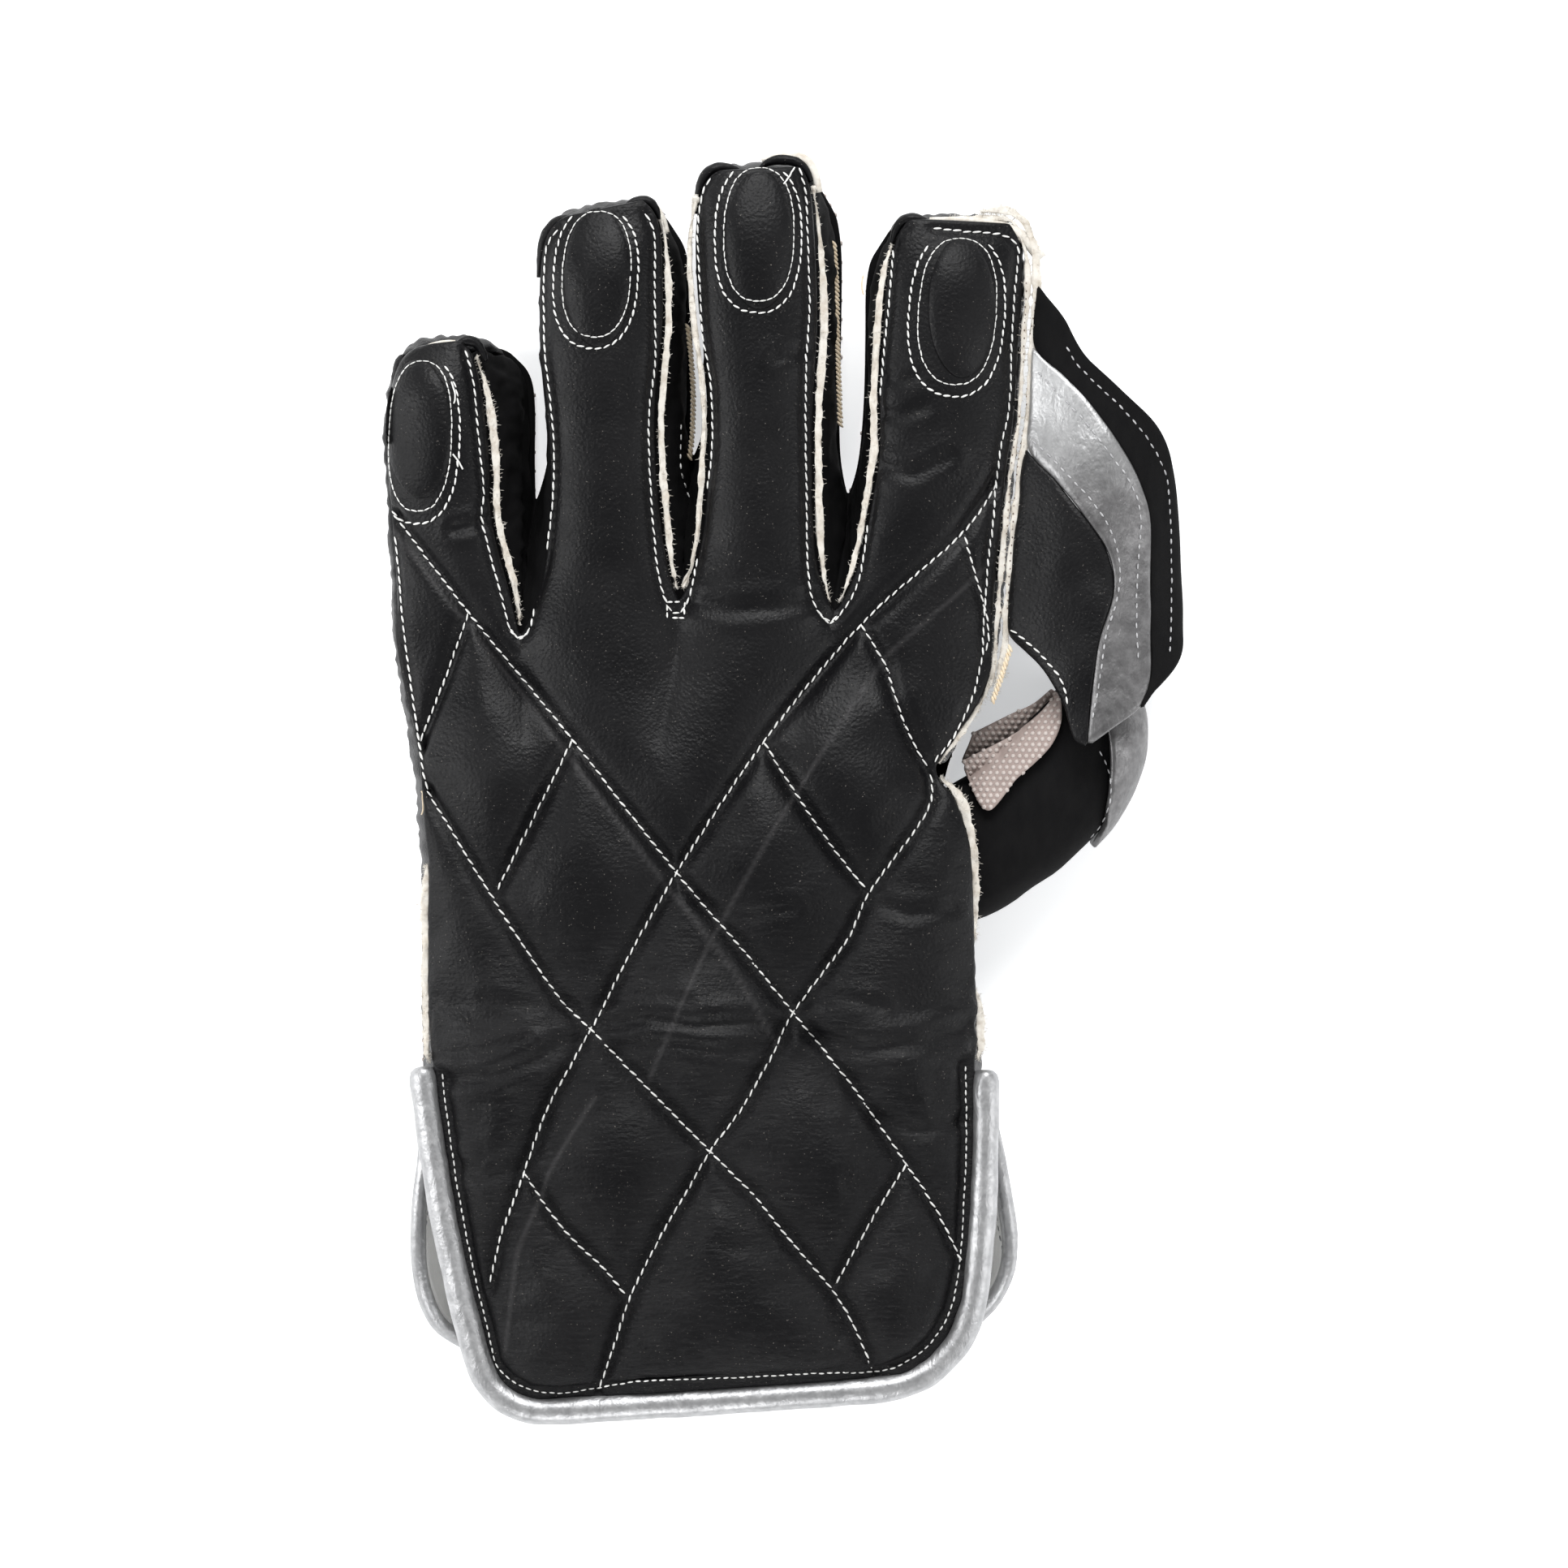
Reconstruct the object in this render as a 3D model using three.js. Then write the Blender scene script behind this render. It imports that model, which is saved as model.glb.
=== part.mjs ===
import * as THREE from "three";

// A left-hand wicketkeeping glove lying palm down. X runs from the little finger to the thumb,
// Y from the cuff to the fingertips, Z up from the surface that the palm rests on.
// The origin is the middle of the flat palm, on that surface. All sizes are millimetres.

// Widths of the finger roots, which add up to the width across the knuckles.
const littleRoot = 31;
const ringRoot = 40;
const middleRoot = 39;
const indexRoot = 40;

// How far each fingertip reaches past the crotch line.
const littleReach = 71;
const ringReach = 105;
const middleReach = 115;
const indexReach = 102;

// Lengths along the hand.
const crotchAhead = 58; // palm centre to the crotch line
const bodyLength = 196; // crotch line to the hem of the back cuff
const slitDown = 0.592; // share of the body length at which the side slits of the cuff begin
const palmCuffLength = 71; // side slits to the hem of the palm cuff
const fingerGap = 10; // typical room between two finger backs

// Heights above the resting surface.
const palmThickness = 4;
const fingerRoof = 24; // underside of the back at the fingertips
const knuckleRoof = 28; // the same at the crotch line
const handRoof = 36; // the same over the palm centre
const cuffRoof = 42; // the same at the hem
const backCurve = 7; // how much lower the back's side edges lie than its middle

// The padded back.
const padThickness = 8.5;
const edgeThickness = 3;
const quiltDepth = 3.2;
const quiltWidth = 5;

// Walls, strips and rolled edges.
const wallThickness = 2;
const wallInset = 1.2; // overhang of the back and the palm past the finger walls
const wallBulge = 1.4;
const rawEdgeWidth = 2.6;
const rawEdgeThickness = 2;
const bandEdgeWidth = 1.7; // inner raw edge beside the index finger
const patchWidth = 17.5;
const patchLength = 36;
const patchThickness = 1.4;
const patchSeat = 2.5; // room round each point of a patch in which it clears the crowned back
const bindingRadius = 2.4;
const rimRadius = 2.2;
const cuffWall = 1.8;
const liningWall = 1.1;
const liningSeat = 0.7; // room between the palm cuff and its lining, which crosses its bent corners
const rimSeat = 0.8; // room between the palm cuff's edge and its rolled rim
const cuffRim = 24; // height of the palm cuff's raised sides

// Thumb and web.
const thumbReach = 50;
const thumbWidth = 38;
const thumbHeight = 25.5;
const thumbDown = 0.3087; // share of the body length at which the middle of its mouth lies
const capThickness = 1.4;
const lobeThickness = 1.6;
const crotchBandWidth = 6;
const webReach = 39;
const webLength = 118;
const webThickness = 2.6;

const gap = 0.3; // room kept between two pieces that touch
const seamGap = 0.35; // the same where a curved edge meets a curved panel

const knuckleWidth = littleRoot + ringRoot + middleRoot + indexRoot;
const leftEdge = -0.515 * knuckleWidth;

// Where the back's fingers part. Drop is how far a crotch lies behind the crotch line, and rise and
// shift place the same crotch of the palm, all as shares of the width across the knuckles.
const crotches = [
  { at: 0, drop: 0.027, rise: 0.205, shift: -0.015 },
  { at: littleRoot, drop: 0.027, rise: 0.205, shift: 0.022 },
  { at: littleRoot + ringRoot, drop: -0.027, rise: 0.28, shift: 0.023 },
  { at: littleRoot + ringRoot + middleRoot, drop: -0.007, rise: 0.215, shift: 0.027 },
  { at: knuckleWidth, drop: 0.057, rise: 0.198, shift: 0.034 },
];

// Outlines of the finger backs from root to tip: how far each side has moved in from the root's
// side, as a share of the finger gap. Tilt is the slope of the tip, as a share of the gap too.
const backFingers = [
  {
    name: "little", reach: littleReach, tilt: 0.1,
    rows: [
      { t: 0, left: 0, right: 0 },
      { t: 0.24, left: -0.06, right: 0.41 },
      { t: 0.4, left: -0.14, right: 0.76 },
      { t: 0.51, left: -0.25, right: 0.74 },
      { t: 0.68, left: -0.31, right: 0.82 },
      { t: 0.87, left: -0.2, right: 1.02 },
      { t: 0.96, left: 0.0, right: 1.2 },
      { t: 1, left: 0.55, right: 1.5 },
    ],
  },
  {
    name: "ring", reach: ringReach, tilt: 0.4,
    rows: [
      { t: 0, left: 0, right: 0 },
      { t: 0.06, left: 0.43, right: 0.22 },
      { t: 0.24, left: 0.72, right: 0.47 },
      { t: 0.4, left: 0.76, right: 0.59 },
      { t: 0.52, left: 0.66, right: 0.59 },
      { t: 0.64, left: 0.51, right: 0.41 },
      { t: 0.9, left: 0.48, right: 0.41 },
      { t: 0.965, left: 0.61, right: 0.47 },
      { t: 1, left: 1.1, right: 0.9 },
    ],
  },
  {
    name: "middle", reach: middleReach, tilt: 0.1,
    rows: [
      { t: 0, left: 0, right: 0 },
      { t: 0.06, left: 0.42, right: 0.3 },
      { t: 0.2, left: 0.68, right: 0.49 },
      { t: 0.35, left: 0.78, right: 0.51 },
      { t: 0.49, left: 0.82, right: 0.51 },
      { t: 0.66, left: 0.52, right: 0.35 },
      { t: 0.82, left: 0.43, right: 0.45 },
      { t: 0.95, left: 0.46, right: 0.49 },
      { t: 1, left: 0.95, right: 0.8 },
    ],
  },
  {
    name: "index", reach: indexReach, tilt: -0.1,
    rows: [
      { t: 0, left: 0, right: 0 },
      { t: 0.06, left: 0.43, right: -0.03 },
      { t: 0.14, left: 0.72, right: -0.1 },
      { t: 0.3, left: 1.02, right: -0.27 },
      { t: 0.43, left: 1.25, right: -0.39 },
      { t: 0.55, left: 1.18, right: -0.64 },
      { t: 0.7, left: 1.29, right: -0.7 },
      { t: 0.94, left: 1.5, right: -0.9 },
      { t: 1, left: 1.95, right: -0.5 },
    ],
  },
];

// The same for the finger fronts, which are part of the palm.
const palmFingers = [
  {
    name: "little", reach: littleReach, tilt: -0.1,
    rows: [
      { t: 0, left: 0, right: 0 },
      { t: 0.3, left: -0.04, right: 0.02 },
      { t: 0.66, left: 0, right: 0.02 },
      { t: 0.87, left: 0.12, right: 0.2 },
      { t: 1, left: 0.65, right: 0.8 },
    ],
  },
  {
    name: "ring", reach: ringReach, tilt: 0.1,
    rows: [
      { t: 0, left: 0, right: 0 },
      { t: 0.15, left: 0.33, right: 0.06 },
      { t: 0.35, left: 0.43, right: 0.02 },
      { t: 0.6, left: 0.4, right: 0.02 },
      { t: 0.85, left: 0.4, right: 0.18 },
      { t: 1, left: 0.95, right: 0.8 },
    ],
  },
  {
    name: "middle", reach: middleReach, tilt: 0.1,
    rows: [
      { t: 0, left: 0, right: 0 },
      { t: 0.12, left: 0.31, right: 0.2 },
      { t: 0.35, left: 0.49, right: 0.2 },
      { t: 0.6, left: 0.4, right: 0.16 },
      { t: 0.85, left: 0.3, right: 0.24 },
      { t: 1, left: 0.85, right: 0.95 },
    ],
  },
  {
    name: "index", reach: indexReach, tilt: -0.1,
    rows: [
      { t: 0, left: 0, right: 0 },
      { t: 0.1, left: 0.24, right: -0.02 },
      { t: 0.35, left: 0.41, right: -0.12 },
      { t: 0.6, left: 0.45, right: -0.16 },
      { t: 0.85, left: 0.53, right: -0.1 },
      { t: 1, left: 1.2, right: 0.3 },
    ],
  },
];

// Side edges of the body from the knuckles to the hem. X columns are shares of the width across the
// knuckles, and the down columns are shares of the body length, measured from the crotch line.
const backEdges = [
  { leftX: -0.515, leftDown: 0.021, rightX: 0.485, rightDown: 0.044 },
  { leftX: -0.501, leftDown: 0.089, rightX: 0.467, rightDown: 0.099 },
  { leftX: -0.481, leftDown: 0.157, rightX: 0.39, rightDown: 0.186 },
  { leftX: -0.473, leftDown: 0.214, rightX: 0.419, rightDown: 0.222 },
  { leftX: -0.462, leftDown: 0.288, rightX: 0.444, rightDown: 0.28 },
  { leftX: -0.456, leftDown: 0.35, rightX: 0.448, rightDown: 0.345 },
  { leftX: -0.456, leftDown: 0.455, rightX: 0.452, rightDown: 0.445 },
  { leftX: -0.455, leftDown: 0.56, rightX: 0.458, rightDown: 0.549 },
  { leftX: -0.44, leftDown: 0.653, rightX: 0.456, rightDown: 0.66 },
  { leftX: -0.421, leftDown: 0.746, rightX: 0.454, rightDown: 0.74 },
  { leftX: -0.392, leftDown: 0.85, rightX: 0.445, rightDown: 0.826 },
  { leftX: -0.372, leftDown: 0.907, rightX: 0.43, rightDown: 0.893 },
  { leftX: -0.355, leftDown: 0.957, rightX: 0.399, rightDown: 0.933 },
  { leftX: -0.329, leftDown: 0.985, rightX: 0.361, rightDown: 0.957 },
  { leftX: -0.281, leftDown: 1, rightX: 0.314, rightDown: 0.97 },
];

// The same for the palm. Its last row lies at the side slits.
const palmEdges = [
  { leftX: -0.53, leftDown: -0.157, rightX: 0.519, rightDown: -0.152 },
  { leftX: -0.522, leftDown: -0.068, rightX: 0.511, rightDown: -0.068 },
  { leftX: -0.516, leftDown: 0.021, rightX: 0.495, rightDown: 0.021 },
  { leftX: -0.5, leftDown: 0.099, rightX: 0.463, rightDown: 0.099 },
  { leftX: -0.484, leftDown: 0.173, rightX: 0.418, rightDown: 0.172 },
  { leftX: -0.477, leftDown: 0.246, rightX: 0.402, rightDown: 0.226 },
  { leftX: -0.475, leftDown: 0.33, rightX: 0.399, rightDown: 0.33 },
  { leftX: -0.475, leftDown: 0.413, rightX: 0.402, rightDown: 0.413 },
  { leftX: -0.477, leftDown: 0.497, rightX: 0.445, rightDown: 0.475 },
  { leftX: -0.478, leftDown: 0.592, rightX: 0.473, rightDown: 0.592 },
];

// Sewn channels of the quilted back: corners of each line, x as a share of the width across the
// knuckles and down as a share of the body length from the crotch line.
const quiltLines = [
  [
    { x: -0.52, down: -0.13 },
    { x: -0.219, down: 0.154 },
    { x: 0.152, down: 0.503 },
    { x: 0.391, down: 0.755 },
    { x: 0.44, down: 0.83 },
  ],
  [
    { x: 0.497, down: -0.18 },
    { x: 0.266, down: 0.004 },
    { x: 0.102, down: 0.156 },
    { x: -0.126, down: 0.434 },
    { x: -0.257, down: 0.621 },
    { x: -0.358, down: 0.857 },
  ],
  [
    { x: -0.464, down: 0.219 },
    { x: -0.186, down: 0.526 },
    { x: 0.09, down: 0.741 },
    { x: 0.288, down: 0.969 },
  ],
  [
    { x: 0.385, down: 0.23 },
    { x: 0.279, down: 0.35 },
    { x: 0.152, down: 0.503 },
    { x: 0.012, down: 0.681 },
    { x: -0.123, down: 0.871 },
    { x: -0.175, down: 0.99 },
  ],
  [{ x: -0.395, down: -0.01 }, { x: -0.478, down: 0.159 }],
  [{ x: -0.219, down: 0.154 }, { x: -0.352, down: 0.357 }],
  [{ x: 0.102, down: 0.156 }, { x: 0.277, down: 0.348 }],
  [{ x: 0.266, down: 0.004 }, { x: 0.332, down: 0.118 }, { x: 0.385, down: 0.19 }],
  [{ x: -0.299, down: 0.709 }, { x: -0.123, down: 0.871 }],
  [{ x: 0.342, down: 0.698 }, { x: 0.217, down: 0.858 }],
];

// Standing folds across the lower back: middle, length and height, as shares of the width across
// the knuckles, the body length, the knuckle width again, and the pad thickness.
const folds = [
  { x: -0.01, down: 0.512, long: 0.34, high: 0.2, turn: 2 },
  { x: -0.33, down: 0.555, long: 0.24, high: 0.16, turn: 12 },
  { x: 0.31, down: 0.545, long: 0.28, high: 0.16, turn: -8 },
  { x: 0.36, down: 0.643, long: 0.18, high: 0.12, turn: -5 },
  { x: -0.36, down: 0.706, long: 0.14, high: 0.12, turn: 8 },
];

// Stations of the thumb from its mouth to its tip: out and ahead as shares of its reach, turn in
// degrees from straight out, width and height as shares of the thumb's width and height.
const thumbStations = [
  { out: 0, ahead: 0, turn: 0, width: 0.98, height: 1 },
  { out: 0.205, ahead: 0.09, turn: 20, width: 0.93, height: 1 },
  { out: 0.398, ahead: 0.221, turn: 35, width: 0.89, height: 1 },
  { out: 0.574, ahead: 0.385, turn: 45, width: 0.865, height: 0.98 },
  { out: 0.697, ahead: 0.561, turn: 58, width: 0.82, height: 0.94 },
  { out: 0.758, ahead: 0.725, turn: 72, width: 0.72, height: 0.86 },
  { out: 0.791, ahead: 0.855, turn: 80, width: 0.53, height: 0.68 },
  { out: 0.803, ahead: 0.93, turn: 84, width: 0.24, height: 0.42 },
];

// Pieces that lie on the thumb: the span of angles that they cover at each station, in degrees,
// where 0 is the thumb's outer side, 90 its top and 180 its inner side.
const capSpans = [
  { station: 2.75, from: -22, to: -8 },
  { station: 3.1, from: -24, to: 26 },
  { station: 3.6, from: -24, to: 52 },
  { station: 4.2, from: -24, to: 66 },
  { station: 5, from: -24, to: 80 },
  { station: 6, from: -24, to: 92 },
];
const lobeSpans = [
  { station: 0.9, from: 148, to: 166 },
  { station: 1.3, from: 113, to: 170 },
  { station: 1.8, from: 112, to: 170 },
  { station: 2.5, from: 121, to: 170 },
  { station: 3.5, from: 118, to: 170 },
  { station: 4.1, from: 121, to: 170 },
  { station: 4.7, from: 140, to: 164 },
];

// Lines of the web from top to bottom: its free inner edge, the two seams between its three strips,
// and its rim. Share is the distance from the index finger's raw edge as a share of the web's reach,
// and down is a share of its length.
const webLines = {
  foot: [
    { share: 0, down: 0.354 },
    { share: 0, down: 0.52 },
    { share: 0, down: 0.667 },
    { share: 0, down: 0.764 },
    { share: 0.12, down: 0.812 },
    { share: 0.263, down: 0.87 },
    { share: 0.33, down: 0.911 },
    { share: 0.36, down: 0.955 },
    { share: 0.405, down: 0.99 },
  ],
  innerSeam: [
    { share: 0, down: 0.354 },
    { share: 0.14, down: 0.413 },
    { share: 0.3, down: 0.47 },
    { share: 0.46, down: 0.53 },
    { share: 0.57, down: 0.583 },
    { share: 0.635, down: 0.64 },
    { share: 0.63, down: 0.69 },
    { share: 0.58, down: 0.75 },
    { share: 0.54, down: 0.812 },
    { share: 0.512, down: 0.89 },
    { share: 0.48, down: 1 },
  ],
  outerSeam: [
    { share: 0, down: 0.141 },
    { share: 0.16, down: 0.208 },
    { share: 0.31, down: 0.25 },
    { share: 0.47, down: 0.316 },
    { share: 0.63, down: 0.378 },
    { share: 0.77, down: 0.45 },
    { share: 0.836, down: 0.52 },
    { share: 0.86, down: 0.618 },
    { share: 0.884, down: 0.715 },
    { share: 0.905, down: 0.812 },
    { share: 0.89, down: 0.875 },
    { share: 0.83, down: 0.92 },
  ],
  rim: [
    { share: 0, down: 0.009 },
    { share: 0.167, down: 0.095 },
    { share: 0.29, down: 0.165 },
    { share: 0.445, down: 0.208 },
    { share: 0.62, down: 0.262 },
    { share: 0.75, down: 0.3 },
    { share: 0.868, down: 0.345 },
    { share: 0.94, down: 0.394 },
    { share: 1, down: 0.48 },
    { share: 1.07, down: 0.618 },
    { share: 1.105, down: 0.715 },
    { share: 1.105, down: 0.793 },
    { share: 1.04, down: 0.84 },
    { share: 0.9, down: 0.885 },
  ],
};

// Height of the web by its length: at its middle and at its outer edge, as shares of the thumb's
// height. Its inner edge lies level with the back of the index finger.
const webHeights = [
  { down: 0, middle: 0.72, outer: 0.66 },
  { down: 0.3, middle: 0.95, outer: 0.6 },
  { down: 0.6, middle: 1.1, outer: 0.62 },
  { down: 0.8, middle: 1.18, outer: 0.95 },
  { down: 1, middle: 1.24, outer: 1.2 },
];

// Sides of the palm cuff from the slits to the hem: back as a share of its length, sides as shares
// of the width across the knuckles, and rim as a share of the rim height.
const cuffRows = [
  { back: 0, left: -0.484, right: 0.481, rim: 0.7 },
  { back: 0.2, left: -0.475, right: 0.501, rim: 0.95 },
  { back: 0.4, left: -0.488, right: 0.519, rim: 1 },
  { back: 0.6, left: -0.49, right: 0.529, rim: 0.97 },
  { back: 0.76, left: -0.481, right: 0.508, rim: 0.82 },
  { back: 0.9, left: -0.445, right: 0.443, rim: 0.52 },
  { back: 1, left: -0.363, right: 0.347, rim: 0.2 },
];

// Grid counts.
const fingerColumns = [0, 0.12, 0.36, 0.64, 0.88, 1];
const fingerRows = 10;
const backRows = 28;
const palmRows = 9;
const thumbSides = 14;
const thumbRings = 10;

const clamp = (value, low, high) => Math.min(high, Math.max(low, value));
const mix = (a, b, t) => a + (b - a) * t;
const ease = (t) => clamp(t, 0, 1) ** 2 * (3 - 2 * clamp(t, 0, 1));
const radians = (degrees) => (degrees * Math.PI) / 180;

// One named column of a table at a place given by another column, on a smooth curve through the rows.
function lookUp(rows, key, name, at) {
  const last = rows.length - 1;
  let i = 0;
  while (i < last - 1 && at > rows[i + 1][key]) i += 1;
  const [a, b] = [rows[i], rows[i + 1]];
  const [before, after] = [rows[Math.max(0, i - 1)], rows[Math.min(last, i + 2)]];
  const t = clamp((at - a[key]) / (b[key] - a[key]), 0, 1);
  const step = b[key] - a[key];
  const slopeA = ((b[name] - before[name]) / (b[key] - before[key])) * step;
  const slopeB = ((after[name] - a[name]) / (after[key] - a[key])) * step;
  const [t2, t3] = [t * t, t * t * t];
  return (
    (2 * t3 - 3 * t2 + 1) * a[name] +
    (t3 - 2 * t2 + t) * slopeA +
    (3 * t2 - 2 * t3) * b[name] +
    (t3 - t2) * slopeB
  );
}

// Rows that are numbered by their order.
const numbered = (rows) => rows.map((row, order) => ({ ...row, order }));

// A closed body from loose faces. A face is a list of three or four points, seen from outside.
class Body {
  constructor() {
    this.points = [];
    this.faces = [];
  }

  point(x, y, z) {
    this.points.push([x, y, z]);
    return this.points.length - 1;
  }

  face(...corners) {
    for (let i = 1; i + 1 < corners.length; i += 1) {
      this.faces.push([corners[0], corners[i], corners[i + 1]]);
    }
  }

  volume() {
    let sum = 0;
    for (const [a, b, c] of this.faces.map((f) => f.map((i) => this.points[i]))) {
      sum += a[0] * (b[1] * c[2] - b[2] * c[1]);
      sum += a[1] * (b[2] * c[0] - b[0] * c[2]);
      sum += a[2] * (b[0] * c[1] - b[1] * c[0]);
    }
    return sum / 6;
  }

  geometry() {
    const outward = this.volume() > 0;
    const turned = this.faces.map(([a, b, c]) => (outward ? [a, b, c] : [a, c, b]));
    const flat = turned.flatMap((face) => face.flatMap((i) => this.points[i]));
    const made = new THREE.BufferGeometry();
    made.setAttribute("position", new THREE.Float32BufferAttribute(flat, 3));
    made.computeVertexNormals();
    return made;
  }
}

// A body between two layers of the same net of quads, closed round the net's open edges.
function layered(top, under, quads) {
  const body = new Body();
  const up = top.map((p) => body.point(...p));
  const down = under.map((p) => body.point(...p));
  const edges = new Map();
  for (const quad of quads) {
    body.face(...quad.map((i) => up[i]));
    body.face(...[...quad].reverse().map((i) => down[i]));
    quad.forEach((a, i) => edges.set(`${a}:${quad[(i + 1) % 4]}`, [a, quad[(i + 1) % 4]]));
  }
  for (const [a, b] of edges.values())
    if (!edges.has(`${b}:${a}`)) body.face(up[a], down[a], down[b], up[b]);
  return body;
}

// Quads of a plain grid whose points are stored row by row.
function gridQuads(rows, columns) {
  const quads = [];
  for (let r = 0; r < rows; r += 1)
    for (let c = 0; c < columns; c += 1) {
      const a = r * (columns + 1) + c;
      quads.push([a, a + 1, a + columns + 2, a + columns + 1]);
    }
  return quads;
}

// A body from rings of points, closed at both ends.
function ringed(rings) {
  const body = new Body();
  const ids = rings.map((ring) => ring.map((p) => body.point(...p)));
  const sides = ids[0].length;
  for (let r = 0; r + 1 < ids.length; r += 1)
    for (let s = 0; s < sides; s += 1) {
      const next = (s + 1) % sides;
      body.face(ids[r][s], ids[r][next], ids[r + 1][next], ids[r + 1][s]);
    }
  body.face(...[...ids[0]].reverse());
  body.face(...ids[ids.length - 1]);
  return body;
}

// Places along a line of points by their share of its length, with some length left off each end.
function spaced(points, count, trimStart = 0, trimEnd = 0) {
  const along = [0];
  for (let i = 1; i < points.length; i += 1)
    along.push(along[i - 1] + Math.hypot(...points[i].map((v, k) => v - points[i - 1][k])));
  const total = along[along.length - 1];
  return Array.from({ length: count + 1 }, (_, n) => {
    const at = mix(trimStart, total - trimEnd, n / count);
    let i = 1;
    while (i < points.length - 1 && along[i] < at) i += 1;
    const t = (at - along[i - 1]) / (along[i] - along[i - 1]);
    return points[i].map((v, k) => mix(points[i - 1][k], v, t));
  });
}

// A line with some length left off each end, which keeps the corners in between.
function trimmed(points, start, end) {
  const along = [0];
  for (let i = 1; i < points.length; i += 1)
    along.push(along[i - 1] + Math.hypot(...points[i].map((v, k) => v - points[i - 1][k])));
  const total = along[along.length - 1];
  const kept = points.filter((_, i) => along[i] > start + 0.5 && along[i] < total - end - 0.5);
  const [first, last] = spaced(points, 1, start, end);
  return [first, ...kept, last];
}

// A line of points moved sideways in plan. A positive distance moves it to the right of its way.
function shifted(points, distance) {
  return points.map((p, i) => {
    const normals = [i - 1, i]
      .filter((k) => k >= 0 && k + 1 < points.length)
      .map((k) => {
        const [dx, dy] = [points[k + 1][0] - points[k][0], points[k + 1][1] - points[k][1]];
        const length = Math.hypot(dx, dy);
        return [dy / length, -dx / length];
      });
    const sum = normals.reduce((a, n) => [a[0] + n[0], a[1] + n[1]], [0, 0]);
    const size = Math.hypot(...sum);
    const d = typeof distance === "function" ? distance(i / (points.length - 1)) : distance;
    return [p[0] + (sum[0] / size) * d, p[1] + (sum[1] / size) * d, p[2]];
  });
}

// Height of the back's underside over a place on the resting surface.
function roofAt(x, y) {
  const tip = crotchAhead + middleReach;
  const hem = crotchAhead - bodyLength;
  let roof;
  if (y > crotchAhead) roof = mix(knuckleRoof, fingerRoof, ease((y - crotchAhead) / (tip - crotchAhead)));
  else if (y > 0) roof = mix(handRoof, knuckleRoof, ease(y / crotchAhead));
  else roof = mix(handRoof, cuffRoof, ease(y / hem));
  return roof - backCurve * (x / (knuckleWidth / 2)) ** 2;
}

// Distance in plan from a place to a straight line between two corners.
function distanceTo(x, y, from, to) {
  const [dx, dy] = [to[0] - from[0], to[1] - from[1]];
  const t = clamp(((x - from[0]) * dx + (y - from[1]) * dy) / (dx * dx + dy * dy), 0, 1);
  return Math.hypot(x - from[0] - dx * t, y - from[1] - dy * t);
}

const onBody = (spot) => [spot.x * knuckleWidth, crotchAhead - spot.down * bodyLength];

// How deep the sewn channels press the padding at a place.
function quiltAt(x, y) {
  let nearest = Infinity;
  for (const line of quiltLines)
    for (let i = 0; i + 1 < line.length; i += 1)
      nearest = Math.min(nearest, distanceTo(x, y, onBody(line[i]), onBody(line[i + 1])));
  return quiltDepth * Math.exp(-((nearest / quiltWidth) ** 2));
}

// How far the standing folds lift the leather at a place.
function foldAt(x, y) {
  let lift = 0;
  for (const fold of folds) {
    const [cx, cy] = onBody(fold);
    const turn = radians(fold.turn);
    const along = (x - cx) * Math.cos(turn) + (y - cy) * Math.sin(turn);
    const across = (y - cy) * Math.cos(turn) - (x - cx) * Math.sin(turn);
    const reach = (fold.long * knuckleWidth) / 2;
    lift += fold.high * padThickness * Math.exp(-((across / quiltWidth) ** 2) - (along / reach) ** 4);
  }
  return lift;
}

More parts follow.
